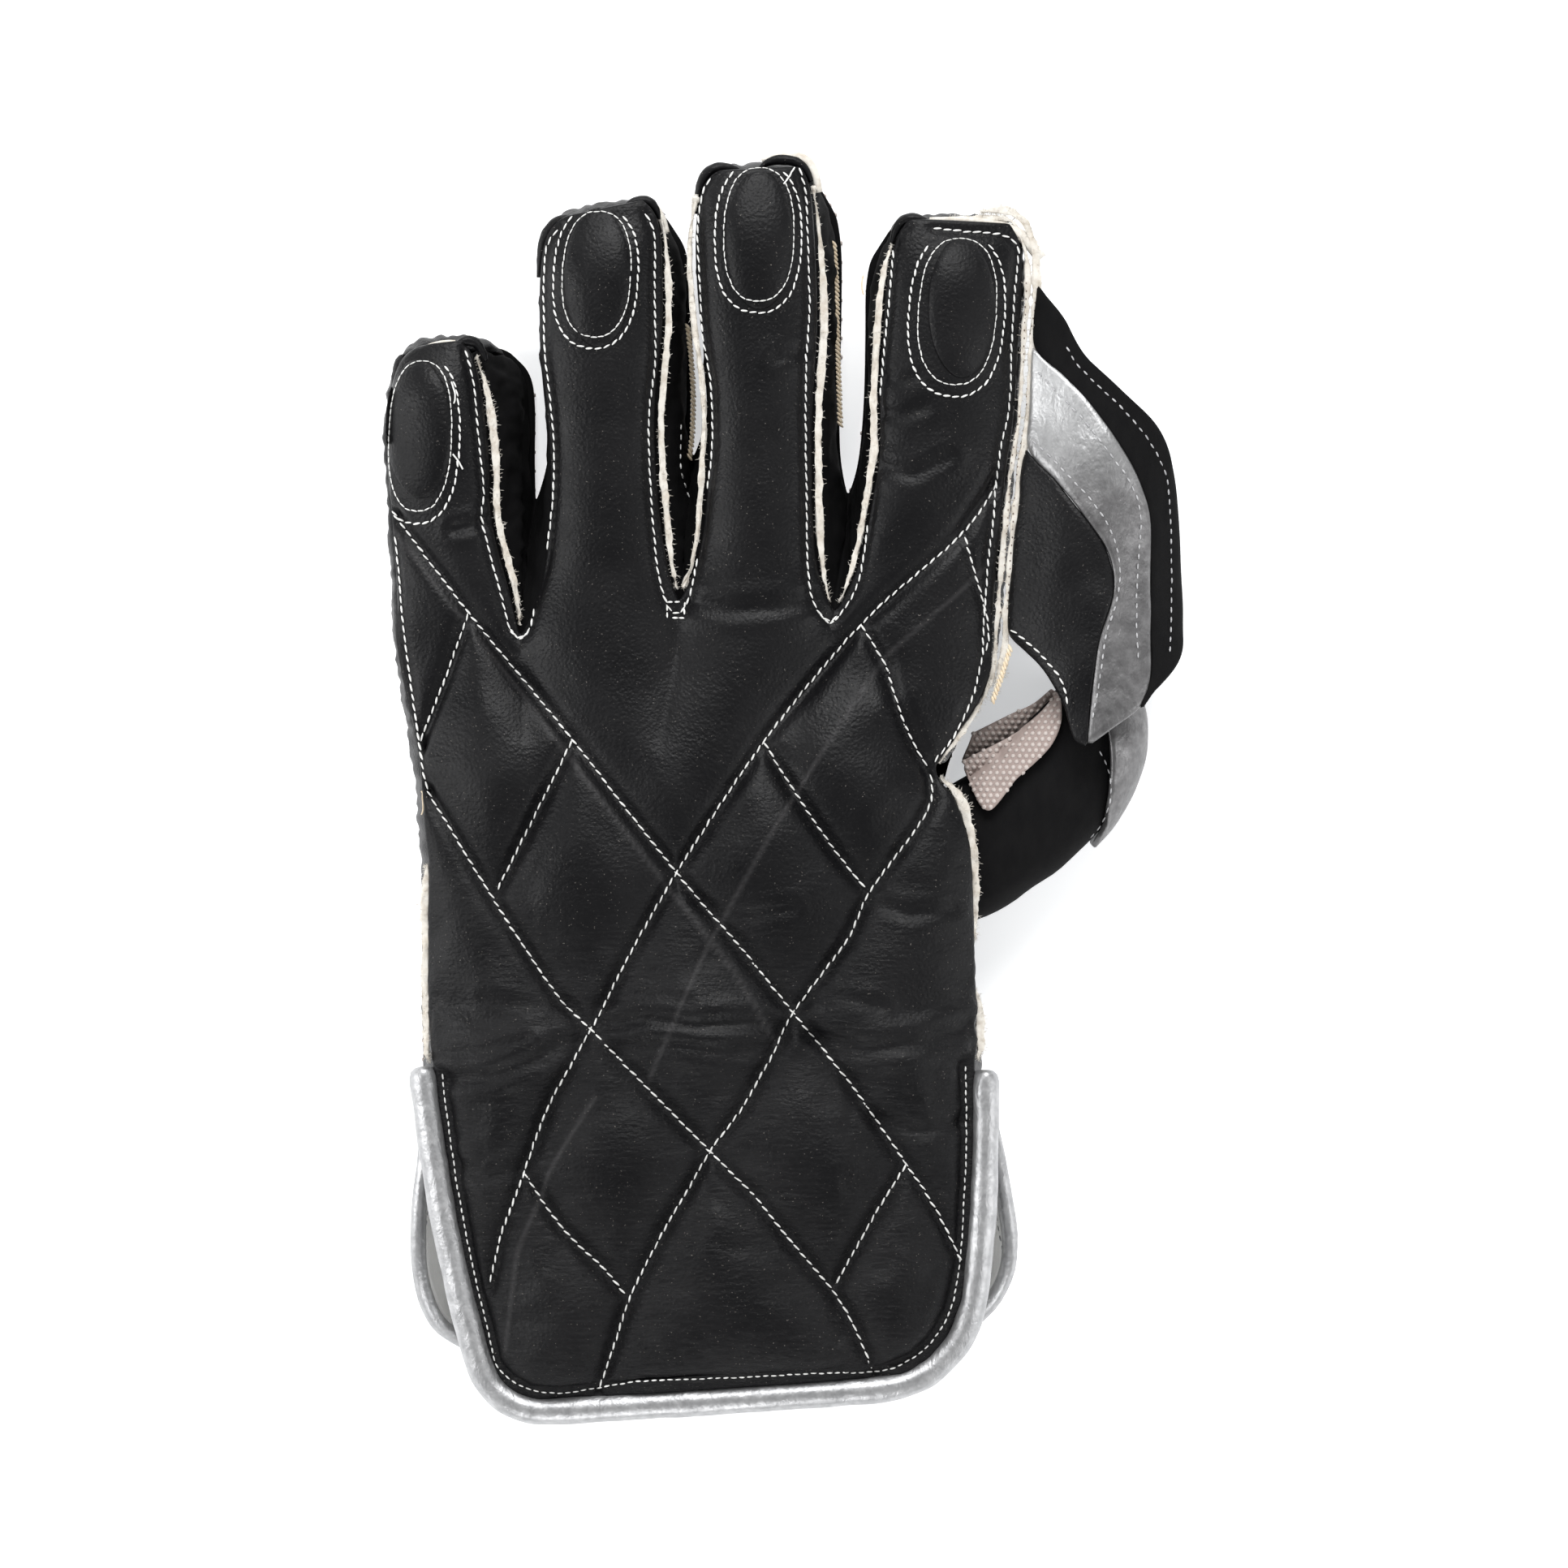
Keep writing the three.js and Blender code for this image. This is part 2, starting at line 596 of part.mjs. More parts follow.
// The net of one layer of the hand: rows down the body, and rows up each of the four fingers.
// Every point keeps its place and how full the padding is there.
function handNet(edges, fingers, rootOf, rowCount) {
  const net = { points: [], quads: [], body: [], fingers: [] };
  const add = (x, y, fullness) => net.points.push({ x, y, fullness }) - 1;
  const rows = numbered(edges);
  const roots = crotches.map(rootOf);
  const knuckles = fingers.flatMap((finger, f) =>
    fingerColumns.slice(f ? 1 : 0).map((s) => ({
      s,
      x: mix(roots[f][0], roots[f + 1][0], s),
      y: mix(roots[f][1], roots[f + 1][1], s),
    })),
  );
  const [first, last] = [roots[0], roots[roots.length - 1]];
  for (let r = 0; r <= rowCount; r += 1) {
    const order = (r / rowCount) * (rows.length - 1);
    const side = (name) => lookUp(rows, "order", name, order);
    const left = onBody({ x: side("leftX"), down: side("leftDown") });
    const right = onBody({ x: side("rightX"), down: side("rightDown") });
    const sink = r === 0 ? 1 : 1 - ease(r / (rowCount * 0.22));
    net.body.push(
      knuckles.map((k) => {
        const u = (k.x - first[0]) / (last[0] - first[0]);
        const bend = k.y - mix(first[1], last[1], u);
        const x = r === 0 ? k.x : mix(left[0], right[0], u);
        const y = r === 0 ? k.y : mix(left[1], right[1], u) + bend * sink;
        const valley = mix(1, 1 - Math.abs(2 * k.s - 1) ** 3, sink);
        const sides = 1 - Math.abs(2 * u - 1) ** 10;
        const hem = ease(((rowCount - r) / rowCount) * 12);
        return add(x, y, valley * sides * hem);
      }),
    );
  }
  fingers.forEach((finger, f) => {
    const strip = [];
    const from = f * (fingerColumns.length - 1);
    strip.push(net.body[0].slice(from, from + fingerColumns.length));
    for (let r = 1; r <= fingerRows; r += 1) {
      const t = r < fingerRows - 1 ? (r / (fingerRows - 1)) * 0.97 : r === fingerRows ? 1 : 0.965;
      const left = roots[f][0] + lookUp(finger.rows, "t", "left", t) * fingerGap;
      const right = roots[f + 1][0] - lookUp(finger.rows, "t", "right", t) * fingerGap;
      strip.push(
        fingerColumns.map((s, c) => {
          const root = net.points[strip[0][c]];
          const tip = crotchAhead + finger.reach + finger.tilt * fingerGap * (s - 0.5);
          const round = 1 - Math.abs(2 * s - 1) ** 3;
          return add(mix(left, right, s), mix(root.y, tip, t), round * (1 - 0.75 * ease((t - 0.86) / 0.14)));
        }),
      );
    }
    net.fingers.push(strip);
  });
  for (const strip of [net.body, ...net.fingers])
    for (let r = 0; r + 1 < strip.length; r += 1)
      for (let c = 0; c + 1 < strip[r].length; c += 1) {
        const quad = [strip[r][c], strip[r][c + 1], strip[r + 1][c + 1], strip[r + 1][c]];
        net.quads.push(strip === net.body ? quad.reverse() : quad);
      }
  return net;
}

const backNet = handNet(
  backEdges,
  backFingers,
  (c) => [leftEdge + c.at, crotchAhead - c.drop * knuckleWidth],
  backRows,
);
const palmNet = handNet(
  palmEdges,
  palmFingers,
  (c) => [leftEdge + c.at + c.shift * knuckleWidth, crotchAhead + c.rise * knuckleWidth],
  palmRows,
);

const backUnder = backNet.points.map((p) => [p.x, p.y, roofAt(p.x, p.y)]);
const backTop = backNet.points.map((p) => {
  const padding = mix(edgeThickness, padThickness + foldAt(p.x, p.y), p.fullness);
  const pressed = quiltAt(p.x, p.y) * p.fullness;
  return [p.x, p.y, roofAt(p.x, p.y) + Math.max(edgeThickness, padding - pressed)];
});
const palmUnder = palmNet.points.map((p) => [p.x, p.y, 0]);
const palmTop = palmNet.points.map((p) => [p.x, p.y, palmThickness * mix(0.8, 1, p.fullness)]);

// Height of a layer of the hand at a place, measured on its flat triangles.
function heightOn(layer, net, x, y) {
  let [best, nearest] = [0, Infinity];
  for (const [a, b, c, d] of net.quads)
    for (const triangle of [[a, b, c], [a, c, d]]) {
      const [p, q, r] = triangle.map((i) => layer[i]);
      const area = (q[0] - p[0]) * (r[1] - p[1]) - (r[0] - p[0]) * (q[1] - p[1]);
      const v = ((x - p[0]) * (r[1] - p[1]) - (r[0] - p[0]) * (y - p[1])) / area;
      const w = ((q[0] - p[0]) * (y - p[1]) - (x - p[0]) * (q[1] - p[1])) / area;
      const outside = Math.max(0, -v, -w, v + w - 1);
      if (outside < nearest) {
        nearest = outside;
        const [vv, ww] = [clamp(v, 0, 1), clamp(w, 0, 1)];
        best = p[2] + (q[2] - p[2]) * vv + (r[2] - p[2]) * ww;
      }
    }
  return best;
}

const looks = {
  blackLeather: { color: 0x1c1c1e, roughness: 0.5, metalness: 0 },
  silverLeather: { color: 0xb9babd, roughness: 0.38, metalness: 0.6 },
  rawEdge: { color: 0xe9e2d4, roughness: 0.95, metalness: 0 },
  paleLining: { color: 0xd6d6d2, roughness: 0.8, metalness: 0 },
  pimpledRubber: { color: 0xcbb9ae, roughness: 0.7, metalness: 0 },
};

const glove = new THREE.Group();

function addPiece(name, geometry, look) {
  const mesh = new THREE.Mesh(geometry, new THREE.MeshStandardMaterial(looks[look]));
  mesh.name = name;
  glove.add(mesh);
}

// Outlines of both layers, as lines of points that run round the hand from the left slit over the
// fingertips to the right slit, so that the hand always lies to the right of the way.
const leftSide = (net, layer) => [...net.body].reverse().map((row) => layer[row[0]]);
const rightSide = (net, layer) => net.body.map((row) => layer[row[row.length - 1]]);
const fingerLeft = (net, layer, f) => net.fingers[f].slice(0, fingerRows).map((row) => layer[row[0]]);
const fingerRight = (net, layer, f) =>
  net.fingers[f].slice(0, fingerRows).map((row) => layer[row[row.length - 1]]).reverse();
const fingerTip = (net, layer, f) => {
  const [before, tip] = net.fingers[f].slice(-2);
  return [layer[before[0]], ...tip.map((i) => layer[i]), layer[before[before.length - 1]]];
};

// The stretch of a side line between two places, measured along Y.
function between(points, high, low) {
  const inside = points.filter((p) => p[1] < high - 0.5 && p[1] > low + 0.5);
  const cross = (level) => {
    const i = points.findIndex((p, k) => k > 0 && (points[k - 1][1] - level) * (p[1] - level) <= 0);
    const [a, b] = [points[Math.max(0, i - 1)], points[Math.max(1, i)]];
    return a.map((v, k) => mix(v, b[k], clamp((level - a[1]) / (b[1] - a[1]), 0, 1)));
  };
  return points[0][1] < points[points.length - 1][1]
    ? [cross(low), ...inside, cross(high)]
    : [cross(high), ...inside, cross(low)];
}

// A standing wall between the palm's top and the back's underside, from two lines of equal count.
// Lead points before the first and after the last only give the walls mitred ends.
function wallBetween(upper, lower, leadStart, leadEnd) {
  const last = upper.length - (leadEnd ? 1 : 0);
  const place = (line, inset, layer, net, lift) =>
    shifted(line, inset)
      .slice(leadStart ? 1 : 0, last)
      .map(([x, y]) => [x, y, heightOn(layer, net, x, y) + lift]);
  const upOut = place(upper, wallInset, backUnder, backNet, -seamGap);
  const upIn = place(upper, wallInset + wallThickness, backUnder, backNet, -seamGap);
  const lowOut = place(lower, wallInset, palmTop, palmNet, seamGap);
  const lowIn = place(lower, wallInset + wallThickness, palmTop, palmNet, seamGap);
  const half = (a, b, bulge) => {
    const middle = a.map((p, i) => p.map((v, k) => (v + b[i][k]) / 2));
    return shifted(middle, (t) => -bulge * Math.sin(Math.PI * t));
  };
  const midOut = half(upOut, lowOut, wallBulge);
  const midIn = half(upIn, lowIn, wallBulge);
  return ringed(upOut.map((p, i) => [p, midOut[i], lowOut[i], lowIn[i], midIn[i], upIn[i]]));
}

// A raw leather edge that stands out beside a panel's edge. The line carries the underside's height.
function rawEdge(line, near, width, taper) {
  const from = shifted(line, -near);
  const to = shifted(line, (t) => -near - width * Math.min(1, 0.25 + Math.min(t, 1 - t) / taper));
  const lift = (edgeThickness - rawEdgeThickness) / 2;
  return ringed(
    from.map(([x, y, z], i) => {
      const [u, v] = to[i];
      const [low, high] = [z + lift, z + lift + rawEdgeThickness];
      return [[x, y, low], [x, y, high], [u, v, high - 0.4], [u, v, low + 0.4]];
    }),
  );
}

// A round tube along a smooth line of points.
function tubeAlong(points, radius, sides, steps) {
  const knots = points.map((p) => new THREE.Vector3(...p));
  const curve = new THREE.CatmullRomCurve3(knots, false, "centripetal");
  const ring = Array.from({ length: sides }, (_, i) => {
    const angle = ((i + 0.5) / sides) * 2 * Math.PI;
    return new THREE.Vector2(Math.cos(angle) * radius, Math.sin(angle) * radius);
  });
  const along = { steps, extrudePath: curve, bevelEnabled: false };
  return new THREE.ExtrudeGeometry(new THREE.Shape(ring), along);
}

// Padded back and rubber-faced palm.
addPiece("back_panel", layered(backTop, backUnder, backNet.quads).geometry(), "blackLeather");
addPiece("palm_panel", layered(palmTop, palmUnder, palmNet.quads).geometry(), "pimpledRubber");

// Oval patches near the fingertips: middle across the finger and along it, as shares.
const patches = [
  { name: "little", across: 0.33, along: 0.69, turn: 3 },
  { name: "ring", across: 0.48, along: 0.83, turn: 1 },
  { name: "middle", across: 0.54, along: 0.84, turn: 0 },
  { name: "index", across: 0.54, along: 0.78, turn: 1 },
];
for (const [f, patch] of patches.entries()) {
  const strip = backNet.fingers[f];
  const row = strip[Math.round(patch.along * fingerRows)].map((i) => backNet.points[i]);
  const tip = crotchAhead + backFingers[f].reach;
  const cx = mix(row[0].x, row[row.length - 1].x, patch.across);
  const cy = mix(crotchAhead, tip, patch.along);
  const steps = 5;
  const top = [];
  const under = [];
  for (let r = 0; r <= steps; r += 1)
    for (let c = 0; c <= steps; c += 1) {
      const [u, v] = [(2 * c) / steps - 1, (2 * r) / steps - 1];
      const [p, q] = [u * Math.sqrt(1 - (v * v) / 2), v * Math.sqrt(1 - (u * u) / 2)];
      const [w, l] = [(p * patchWidth) / 2, (q * patchLength) / 2];
      const turn = radians(patch.turn);
      const x = cx + w * Math.cos(turn) - l * Math.sin(turn);
      const y = cy + l * Math.cos(turn) + w * Math.sin(turn);
      const near = [[0, 0], [patchSeat, 0], [-patchSeat, 0], [0, patchSeat], [0, -patchSeat]];
      const z = Math.max(...near.map(([dx, dy]) => heightOn(backTop, backNet, x + dx, y + dy))) + seamGap;
      under.push([x, y, z]);
      top.push([x, y, z + patchThickness * mix(0.6, 1, 1 - Math.hypot(p, q) ** 4)]);
    }
  const body = layered(top, under, gridQuads(steps, steps));
  addPiece(`${patch.name}_finger_patch`, body.geometry(), "blackLeather");
}

// Fourchettes between two fingers: down one finger's side, round the crotch and up the next.
const legSteps = 8;
const names = backFingers.map((finger) => finger.name);
for (let f = 0; f + 1 < names.length; f += 1) {
  const bothLegs = (net, layer) => {
    const down = spaced(fingerRight(net, layer, f), legSteps, gap, 0);
    const up = spaced(fingerLeft(net, layer, f + 1), legSteps, 0, gap);
    return [fingerTip(net, layer, f).at(-2), ...down, ...up.slice(1), fingerTip(net, layer, f + 1)[1]];
  };
  const wall = wallBetween(bothLegs(backNet, backUnder), bothLegs(palmNet, palmTop), true, true);
  addPiece(`fourchette_${names[f]}_${names[f + 1]}`, wall.geometry(), "blackLeather");
}

// Fingertip pieces.
for (const [f, name] of names.entries()) {
  const ends = (net, layer) => [
    fingerLeft(net, layer, f).at(-2),
    ...spaced(fingerTip(net, layer, f), 7, 3 * gap, 3 * gap),
    fingerRight(net, layer, f)[1],
  ];
  const wall = wallBetween(ends(backNet, backUnder), ends(palmNet, palmTop), true, true);
  addPiece(`${name}_fingertip`, wall.geometry(), "blackLeather");
}

// Side walls: the little finger's side down to the slit, and the index finger's side down to the thumb.
const slitLevel = crotchAhead - slitDown * bodyLength;
const mouthY = crotchAhead - thumbDown * bodyLength;
const mouthHalf = (thumbStations[0].width * thumbWidth) / 2;
const sideSteps = 22;
const littleSide = (net, layer) => {
  const body = between(leftSide(net, layer), Infinity, slitLevel);
  const line = spaced([...body.slice(0, -2), ...fingerLeft(net, layer, 0)], sideSteps, gap, gap);
  return [...line, fingerTip(net, layer, 0)[1]];
};
const littleWall = wallBetween(littleSide(backNet, backUnder), littleSide(palmNet, palmTop), false, true);
addPiece("little_side_wall", littleWall.geometry(), "blackLeather");
const notch = rightSide(backNet, backUnder).reduce((a, p) => (p[1] > mouthY && p[0] < a[0] ? p : a));
const indexSide = (net, layer) => {
  const body = between(rightSide(net, layer), Infinity, notch[1] + 1);
  const line = spaced([...fingerRight(net, layer, 3), ...body.slice(2)], sideSteps, gap, gap);
  return [fingerTip(net, layer, 3).at(-2), ...line];
};
const indexWall = wallBetween(indexSide(backNet, backUnder), indexSide(palmNet, palmTop), true, false);
addPiece("index_side_wall", indexWall.geometry(), "blackLeather");
const heelTop = mouthY - mouthHalf - wallThickness;
const heelSide = (net, layer) => {
  const body = between(rightSide(net, layer), heelTop, slitLevel);
  return spaced(body, 6, 0, 2 * gap);
};
const heelWall = wallBetween(heelSide(backNet, backUnder), heelSide(palmNet, palmTop));
addPiece("heel_side_wall", heelWall.geometry(), "blackLeather");

// Raw edges of the finger backs. The line runs along one side of a finger.
const rawSides = [
  { name: "little_raw_edge", line: fingerRight(backNet, backUnder, 0), trim: [1, 3] },
  { name: "ring_raw_edge", line: fingerRight(backNet, backUnder, 1), trim: [1, 4] },
  { name: "middle_raw_edge_left", line: fingerLeft(backNet, backUnder, 2), trim: [4, 3] },
  { name: "middle_raw_edge_right", line: fingerRight(backNet, backUnder, 2), trim: [1, 4] },
  { name: "index_raw_edge_left", line: fingerLeft(backNet, backUnder, 3), trim: [4, 3] },
];
for (const side of rawSides) {
  const line = trimmed(side.line, ...side.trim);
  addPiece(side.name, rawEdge(line, gap, rawEdgeWidth, 0.2).geometry(), "rawEdge");
}

// Double raw edge from the index fingertip down to the thumb notch, where the web is sewn on.
const notchRow = rightSide(backNet, backUnder).indexOf(notch);
const webSeam = [
  ...fingerTip(backNet, backUnder, 3).slice(3, -1),
  ...fingerRight(backNet, backUnder, 3),
  ...rightSide(backNet, backUnder).slice(1, notchRow + 1),
];
const innerEdge = rawEdge(trimmed(webSeam, 0.5, 1), gap, bandEdgeWidth, 0.08);
addPiece("index_raw_edge_inner", innerEdge.geometry(), "rawEdge");
const outerNear = gap + bandEdgeWidth + gap;
const outerEdge = rawEdge(trimmed(webSeam, 0.088 * indexReach, 0.112 * bodyLength), outerNear, rawEdgeWidth, 0.08);
addPiece("index_raw_edge_outer", outerEdge.geometry(), "rawEdge");

// Raw edges along the body: at the thumb, at the left side and above the right slit.
const thumbSide = between(rightSide(backNet, backUnder), notch[1] - 2, heelTop);
const thumbEdge = rawEdge(trimmed(thumbSide, 0.5, 0.5), gap, rawEdgeWidth, 0.25);
addPiece("thumb_raw_edge", thumbEdge.geometry(), "rawEdge");
const bindingTop = slitLevel + 3;
const leftBody = between(leftSide(backNet, backUnder), mouthY, bindingTop + 2);
const bodyEdge = rawEdge(trimmed(leftBody, 0.5, 0.5), gap, rawEdgeWidth, 0.3);
addPiece("left_raw_edge", bodyEdge.geometry(), "rawEdge");
const rightBody = between(rightSide(backNet, backUnder), slitLevel + 0.122 * bodyLength, bindingTop + 2);
const slitEdge = rawEdge(trimmed(rightBody, 0.5, 0.5), gap, rawEdgeWidth * 1.3, 0.6);
addPiece("right_raw_edge", slitEdge.geometry(), "rawEdge");

// Rolled silver edge of the back cuff, from the left slit round the hem to the right slit.
const hem = backNet.body[backRows].map((i) => backUnder[i]);
const cuffEdge = [
  ...between(leftSide(backNet, backUnder), bindingTop, -Infinity).reverse().slice(0, -1),
  ...hem,
  ...between(rightSide(backNet, backUnder), bindingTop - 1, -Infinity).reverse().slice(1),
];
const bindingLine = shifted(spaced(cuffEdge, 44), bindingRadius + seamGap);
const onEdge = bindingLine.map(([x, y, z]) => [x, y, z + edgeThickness / 2]);
addPiece("cuff_binding", tubeAlong(onEdge, bindingRadius, 7, 44), "silverLeather");

// Palm cuff: a shallow trough with raised sides, its pale lining and its rolled silver rim.
const cuffColumns = [-1, -0.91, -0.81, -0.7, -0.58, 0, 0.58, 0.7, 0.81, 0.91, 1];
const cuffStart = slitLevel - gap;
const cuffFlat = 0.58; // share of each half that lies flat
const cuffFlare = 0.8; // how far a side leans out, as a share of its height
function cuffBase(back, across) {
  const side = (name) => lookUp(cuffRows, "back", name, back);
  const [left, right] = [side("left") * knuckleWidth, side("right") * knuckleWidth];
  const half = (right - left) / 2;
  const sideDepth = cuffRim * cuffFlare;
  const rise = clamp((Math.abs(across) - cuffFlat) / (1 - cuffFlat), 0, 1);
  const turn = (rise * Math.PI) / 2;
  const flat = Math.min(1, Math.abs(across) / cuffFlat) * (half - sideDepth);
  const x = (left + right) / 2 + Math.sign(across) * (flat + sideDepth * Math.sin(turn));
  return [x, cuffStart - back * palmCuffLength, cuffRim * side("rim") * (1 - Math.cos(turn))];
}
// The same place, moved square to the sheet towards the hand.
function cuffPoint(back, across, inward) {
  const [b, a] = [Math.min(back, 0.98), clamp(across, -0.98, 0.98)];
  const at = new THREE.Vector3(...cuffBase(back, across));
  const from = new THREE.Vector3(...cuffBase(b, a));
  const lengthways = new THREE.Vector3(...cuffBase(b + 0.02, a)).sub(from);
  const crossways = new THREE.Vector3(...cuffBase(b, a + 0.02)).sub(from);
  const normal = lengthways.cross(crossways).normalize();
  const [x, y, z] = at.addScaledVector(normal, inward).toArray();
  return [x, Math.min(y, cuffStart), z];
}
const cuffBacks = [0, 0.14, 0.28, 0.42, 0.56, 0.68, 0.78, 0.87, 0.94, 1];
function cuffLayer(outer, wall) {
  const layer = (inward) =>
    cuffBacks.flatMap((back) => cuffColumns.map((across) => cuffPoint(back, across, inward)));
  const quads = gridQuads(cuffBacks.length - 1, cuffColumns.length - 1);
  return layered(layer(outer + wall), layer(outer), quads);
}
addPiece("palm_cuff", cuffLayer(0, cuffWall).geometry(), "silverLeather");
addPiece("palm_cuff_lining", cuffLayer(cuffWall + liningSeat, liningWall).geometry(), "paleLining");

// The rim's middle lies beyond the sheet's edge, in the direction in which the sheet runs out there.
function rimPoint(back, across, dBack, dAcross) {
  const middle = (cuffWall + liningSeat + liningWall) / 2;
  const at = new THREE.Vector3(...cuffPoint(back, across, middle));
  const inside = new THREE.Vector3(...cuffPoint(back - dBack * 0.04, across - dAcross * 0.05, middle));
  const aside = dBack * 0.03 * (across < 0 ? -1 : 1);
  const near = cuffPoint(back - Math.abs(dAcross) * 0.02, across - aside, middle);
  const along = at.clone().sub(new THREE.Vector3(...near)).normalize();
  const out = at.clone().sub(inside);
  out.addScaledVector(along, -out.dot(along));
  const centre = at.addScaledVector(out.normalize(), rimRadius + rimSeat);
  return [centre.x, centre.y, Math.max(centre.z, rimRadius + 0.1)];
}
const sideRim = (sign) => cuffBacks.map((b) => rimPoint(Math.max(b, 0.02), sign, 0, sign));
const hemRim = [-1, -0.81, -0.7, -0.58, 0, 0.58, 0.7, 0.81, 1].map((a) => rimPoint(1, a, 1, 0));
const rimLine = [...sideRim(-1), ...hemRim, ...sideRim(1).reverse()];
addPiece("palm_cuff_rim", tubeAlong(rimLine, rimRadius, 7, 50), "silverLeather");

// Thumb: rings of a flattened round that turn along its length.
const stations = numbered(thumbStations);
const palmRight = rightSide(palmNet, palmTop).filter((p) => Math.abs(p[1] - mouthY) < mouthHalf + 6);
const mouthX = Math.max(...palmRight.map((p) => p[0])) + gap;
const corner = 2.6; // how square the thumb's section is
function thumbPoint(station, angle, grow) {
  const at = (name) => lookUp(stations, "order", name, station);
  const turn = radians(at("turn"));
  const half = (at("width") * thumbWidth) / 2 + grow;
  const high = at("height") * thumbHeight;
  const [c, s] = [Math.cos(angle), Math.sin(angle)];
  const across = Math.sign(c) * Math.abs(c) ** (2 / corner) * half;
  const up = Math.sign(s) * Math.abs(s) ** (2 / corner);
  const z = clamp((high * (1 + up * 1.08)) / 2 + up * grow, Math.max(0, -grow), high * 1.04 + grow);
  const x = mouthX + at("out") * thumbReach + across * Math.sin(turn);
  const y = mouthY + at("ahead") * thumbReach - across * Math.cos(turn);
  return [x, y, z];
}
const lastStation = thumbStations.length - 1;
const thumbRing = (station, grow) =>
  Array.from({ length: thumbSides }, (_, i) => {
    const angle = ((i + 0.5) / thumbSides) * 2 * Math.PI;
    return thumbPoint(station, angle, grow);
  });
const shell = new Body();
const shellRings = [];
for (let r = 0; r <= thumbRings; r += 1) shellRings.push(thumbRing((r / thumbRings) * lastStation, 0));
for (let r = thumbRings - 1; r >= 0; r -= 1) {
  shellRings.push(thumbRing((r / thumbRings) * lastStation, -wallThickness));
}
const shellIds = shellRings.map((ring) => ring.map((p) => shell.point(...p)));
const joinRings = (a, b) => {
  for (let i = 0; i < thumbSides; i += 1) {
    const next = (i + 1) % thumbSides;
    shell.face(a[i], a[next], b[next], b[i]);
  }
};
for (let r = 0; r < thumbRings; r += 1) joinRings(shellIds[r], shellIds[r + 1]);
shell.face(...shellIds[thumbRings]);
const innerTip = thumbRings + 1;
shell.face(...[...shellIds[innerTip]].reverse());
for (let r = innerTip; r + 1 < shellIds.length; r += 1) joinRings(shellIds[r], shellIds[r + 1]);
joinRings(shellIds[shellIds.length - 1], shellIds[0]);
addPiece("thumb_shell", shell.geometry(), "blackLeather");

// A cover that lies on the thumb over a table of spans.
function onThumb(spans, thickness) {
  const [rows, columns] = [8, 5];
  const last = spans[spans.length - 1].station;
  const layer = (grow) => {
    const points = [];
    for (let r = 0; r <= rows; r += 1) {
      const station = mix(spans[0].station, last, r / rows);
      const [from, to] = ["from", "to"].map((name) => lookUp(spans, "station", name, station));
      for (let c = 0; c <= columns; c += 1) {
        points.push(thumbPoint(station, radians(mix(from, to, c / columns)), grow));
      }
    }
    return points;
  };
  return layered(layer(coverSeat + thickness), layer(coverSeat), gridQuads(rows, columns));
}
const coverSeat = 0.8;
addPiece("thumb_cap", onThumb(capSpans, capThickness).geometry(), "silverLeather");
addPiece("thumb_rubber_lobe", onThumb(lobeSpans, lobeThickness).geometry(), "pimpledRubber");

// Rubber band between the thumb's inner side and the palm, at the foot of the web.
const bandLayer = (lift) =>
  Array.from({ length: 8 }, (_, r) => {
    const station = mix(1.45, 4.5, r / 7);
    const near = thumbPoint(station, Math.PI, seamGap + 0.1);
    const far = thumbPoint(station, Math.PI, seamGap + crotchBandWidth);
    const middle = [(near[0] + far[0]) / 2, (near[1] + far[1]) / 2, near[2]];
    return [near, middle, far].map(([x, y, z]) => [x, y, z + lift]);
  }).flat();
const crotchBand = layered(bandLayer(lobeThickness), bandLayer(0), gridQuads(7, 2));
addPiece("crotch_rubber_band", crotchBand.geometry(), "pimpledRubber");

// Web: three strips of one sheet that bulges from the index finger's raw edge over the thumb.
const seamLine = shifted(spaced(webSeam, 60), -(outerNear + rawEdgeWidth + seamGap));
const webTop = crotchAhead + indexReach - 15;
function webEdgeAt(y) {
  const run = seamLine.filter((p) => p[1] < webTop + 8);
  const i = clamp(run.findIndex((p) => p[1] < y), 1, run.length - 1);
  const t = clamp((y - run[i - 1][1]) / (run[i][1] - run[i - 1][1]), 0, 1);
  return run[i].map((v, k) => mix(run[i - 1][k], v, t));
}
const webFoot = webEdgeAt(crotchAhead - 0.03 * bodyLength);
function webPoint(share, down) {
  const y = webTop - down * webLength;
  const seam = y > webFoot[1] ? webEdgeAt(y) : webFoot;
  const x = seam[0] + share * webReach;
  const middle = lookUp(webHeights, "down", "middle", down) * thumbHeight;
  const outer = lookUp(webHeights, "down", "outer", down) * thumbHeight;
  const w = clamp(share, 0, 1.15);
  const z = seam[2] * (1 - w) * (1 - 2 * w) + middle * 4 * w * (1 - w) + outer * w * (2 * w - 1);
  return [x, y, z];
}
// Places along one line of the web, by its rows or straight down the raw edge.
const alongLine = (rows, count) => {
  const table = numbered(rows);
  return Array.from({ length: count + 1 }, (_, n) => {
    const order = (n / count) * (rows.length - 1);
    return [lookUp(table, "order", "share", order), lookUp(table, "order", "down", order)];
  });
};
const alongEdge = (from, to, count) =>
  Array.from({ length: count }, (_, n) => [0, mix(from, to, n / count)]);
function webStrip(left, right, columns) {
  const layer = (lift) =>
    left.flatMap((a, r) => {
      const b = right[r];
      const width = Math.hypot((b[0] - a[0]) * webReach, (b[1] - a[1]) * webLength);
      const room = Math.min(0.3, (gap * 0.7) / width);
      return Array.from({ length: columns + 1 }, (_, c) => {
        const q = mix(room, 1 - room, c / columns);
        const [x, y, z] = webPoint(mix(a[0], b[0], q), mix(a[1], b[1], q));
        return [x, y, z + lift];
      });
    });
  return layered(layer(webThickness), layer(0), gridQuads(left.length - 1, columns));
}
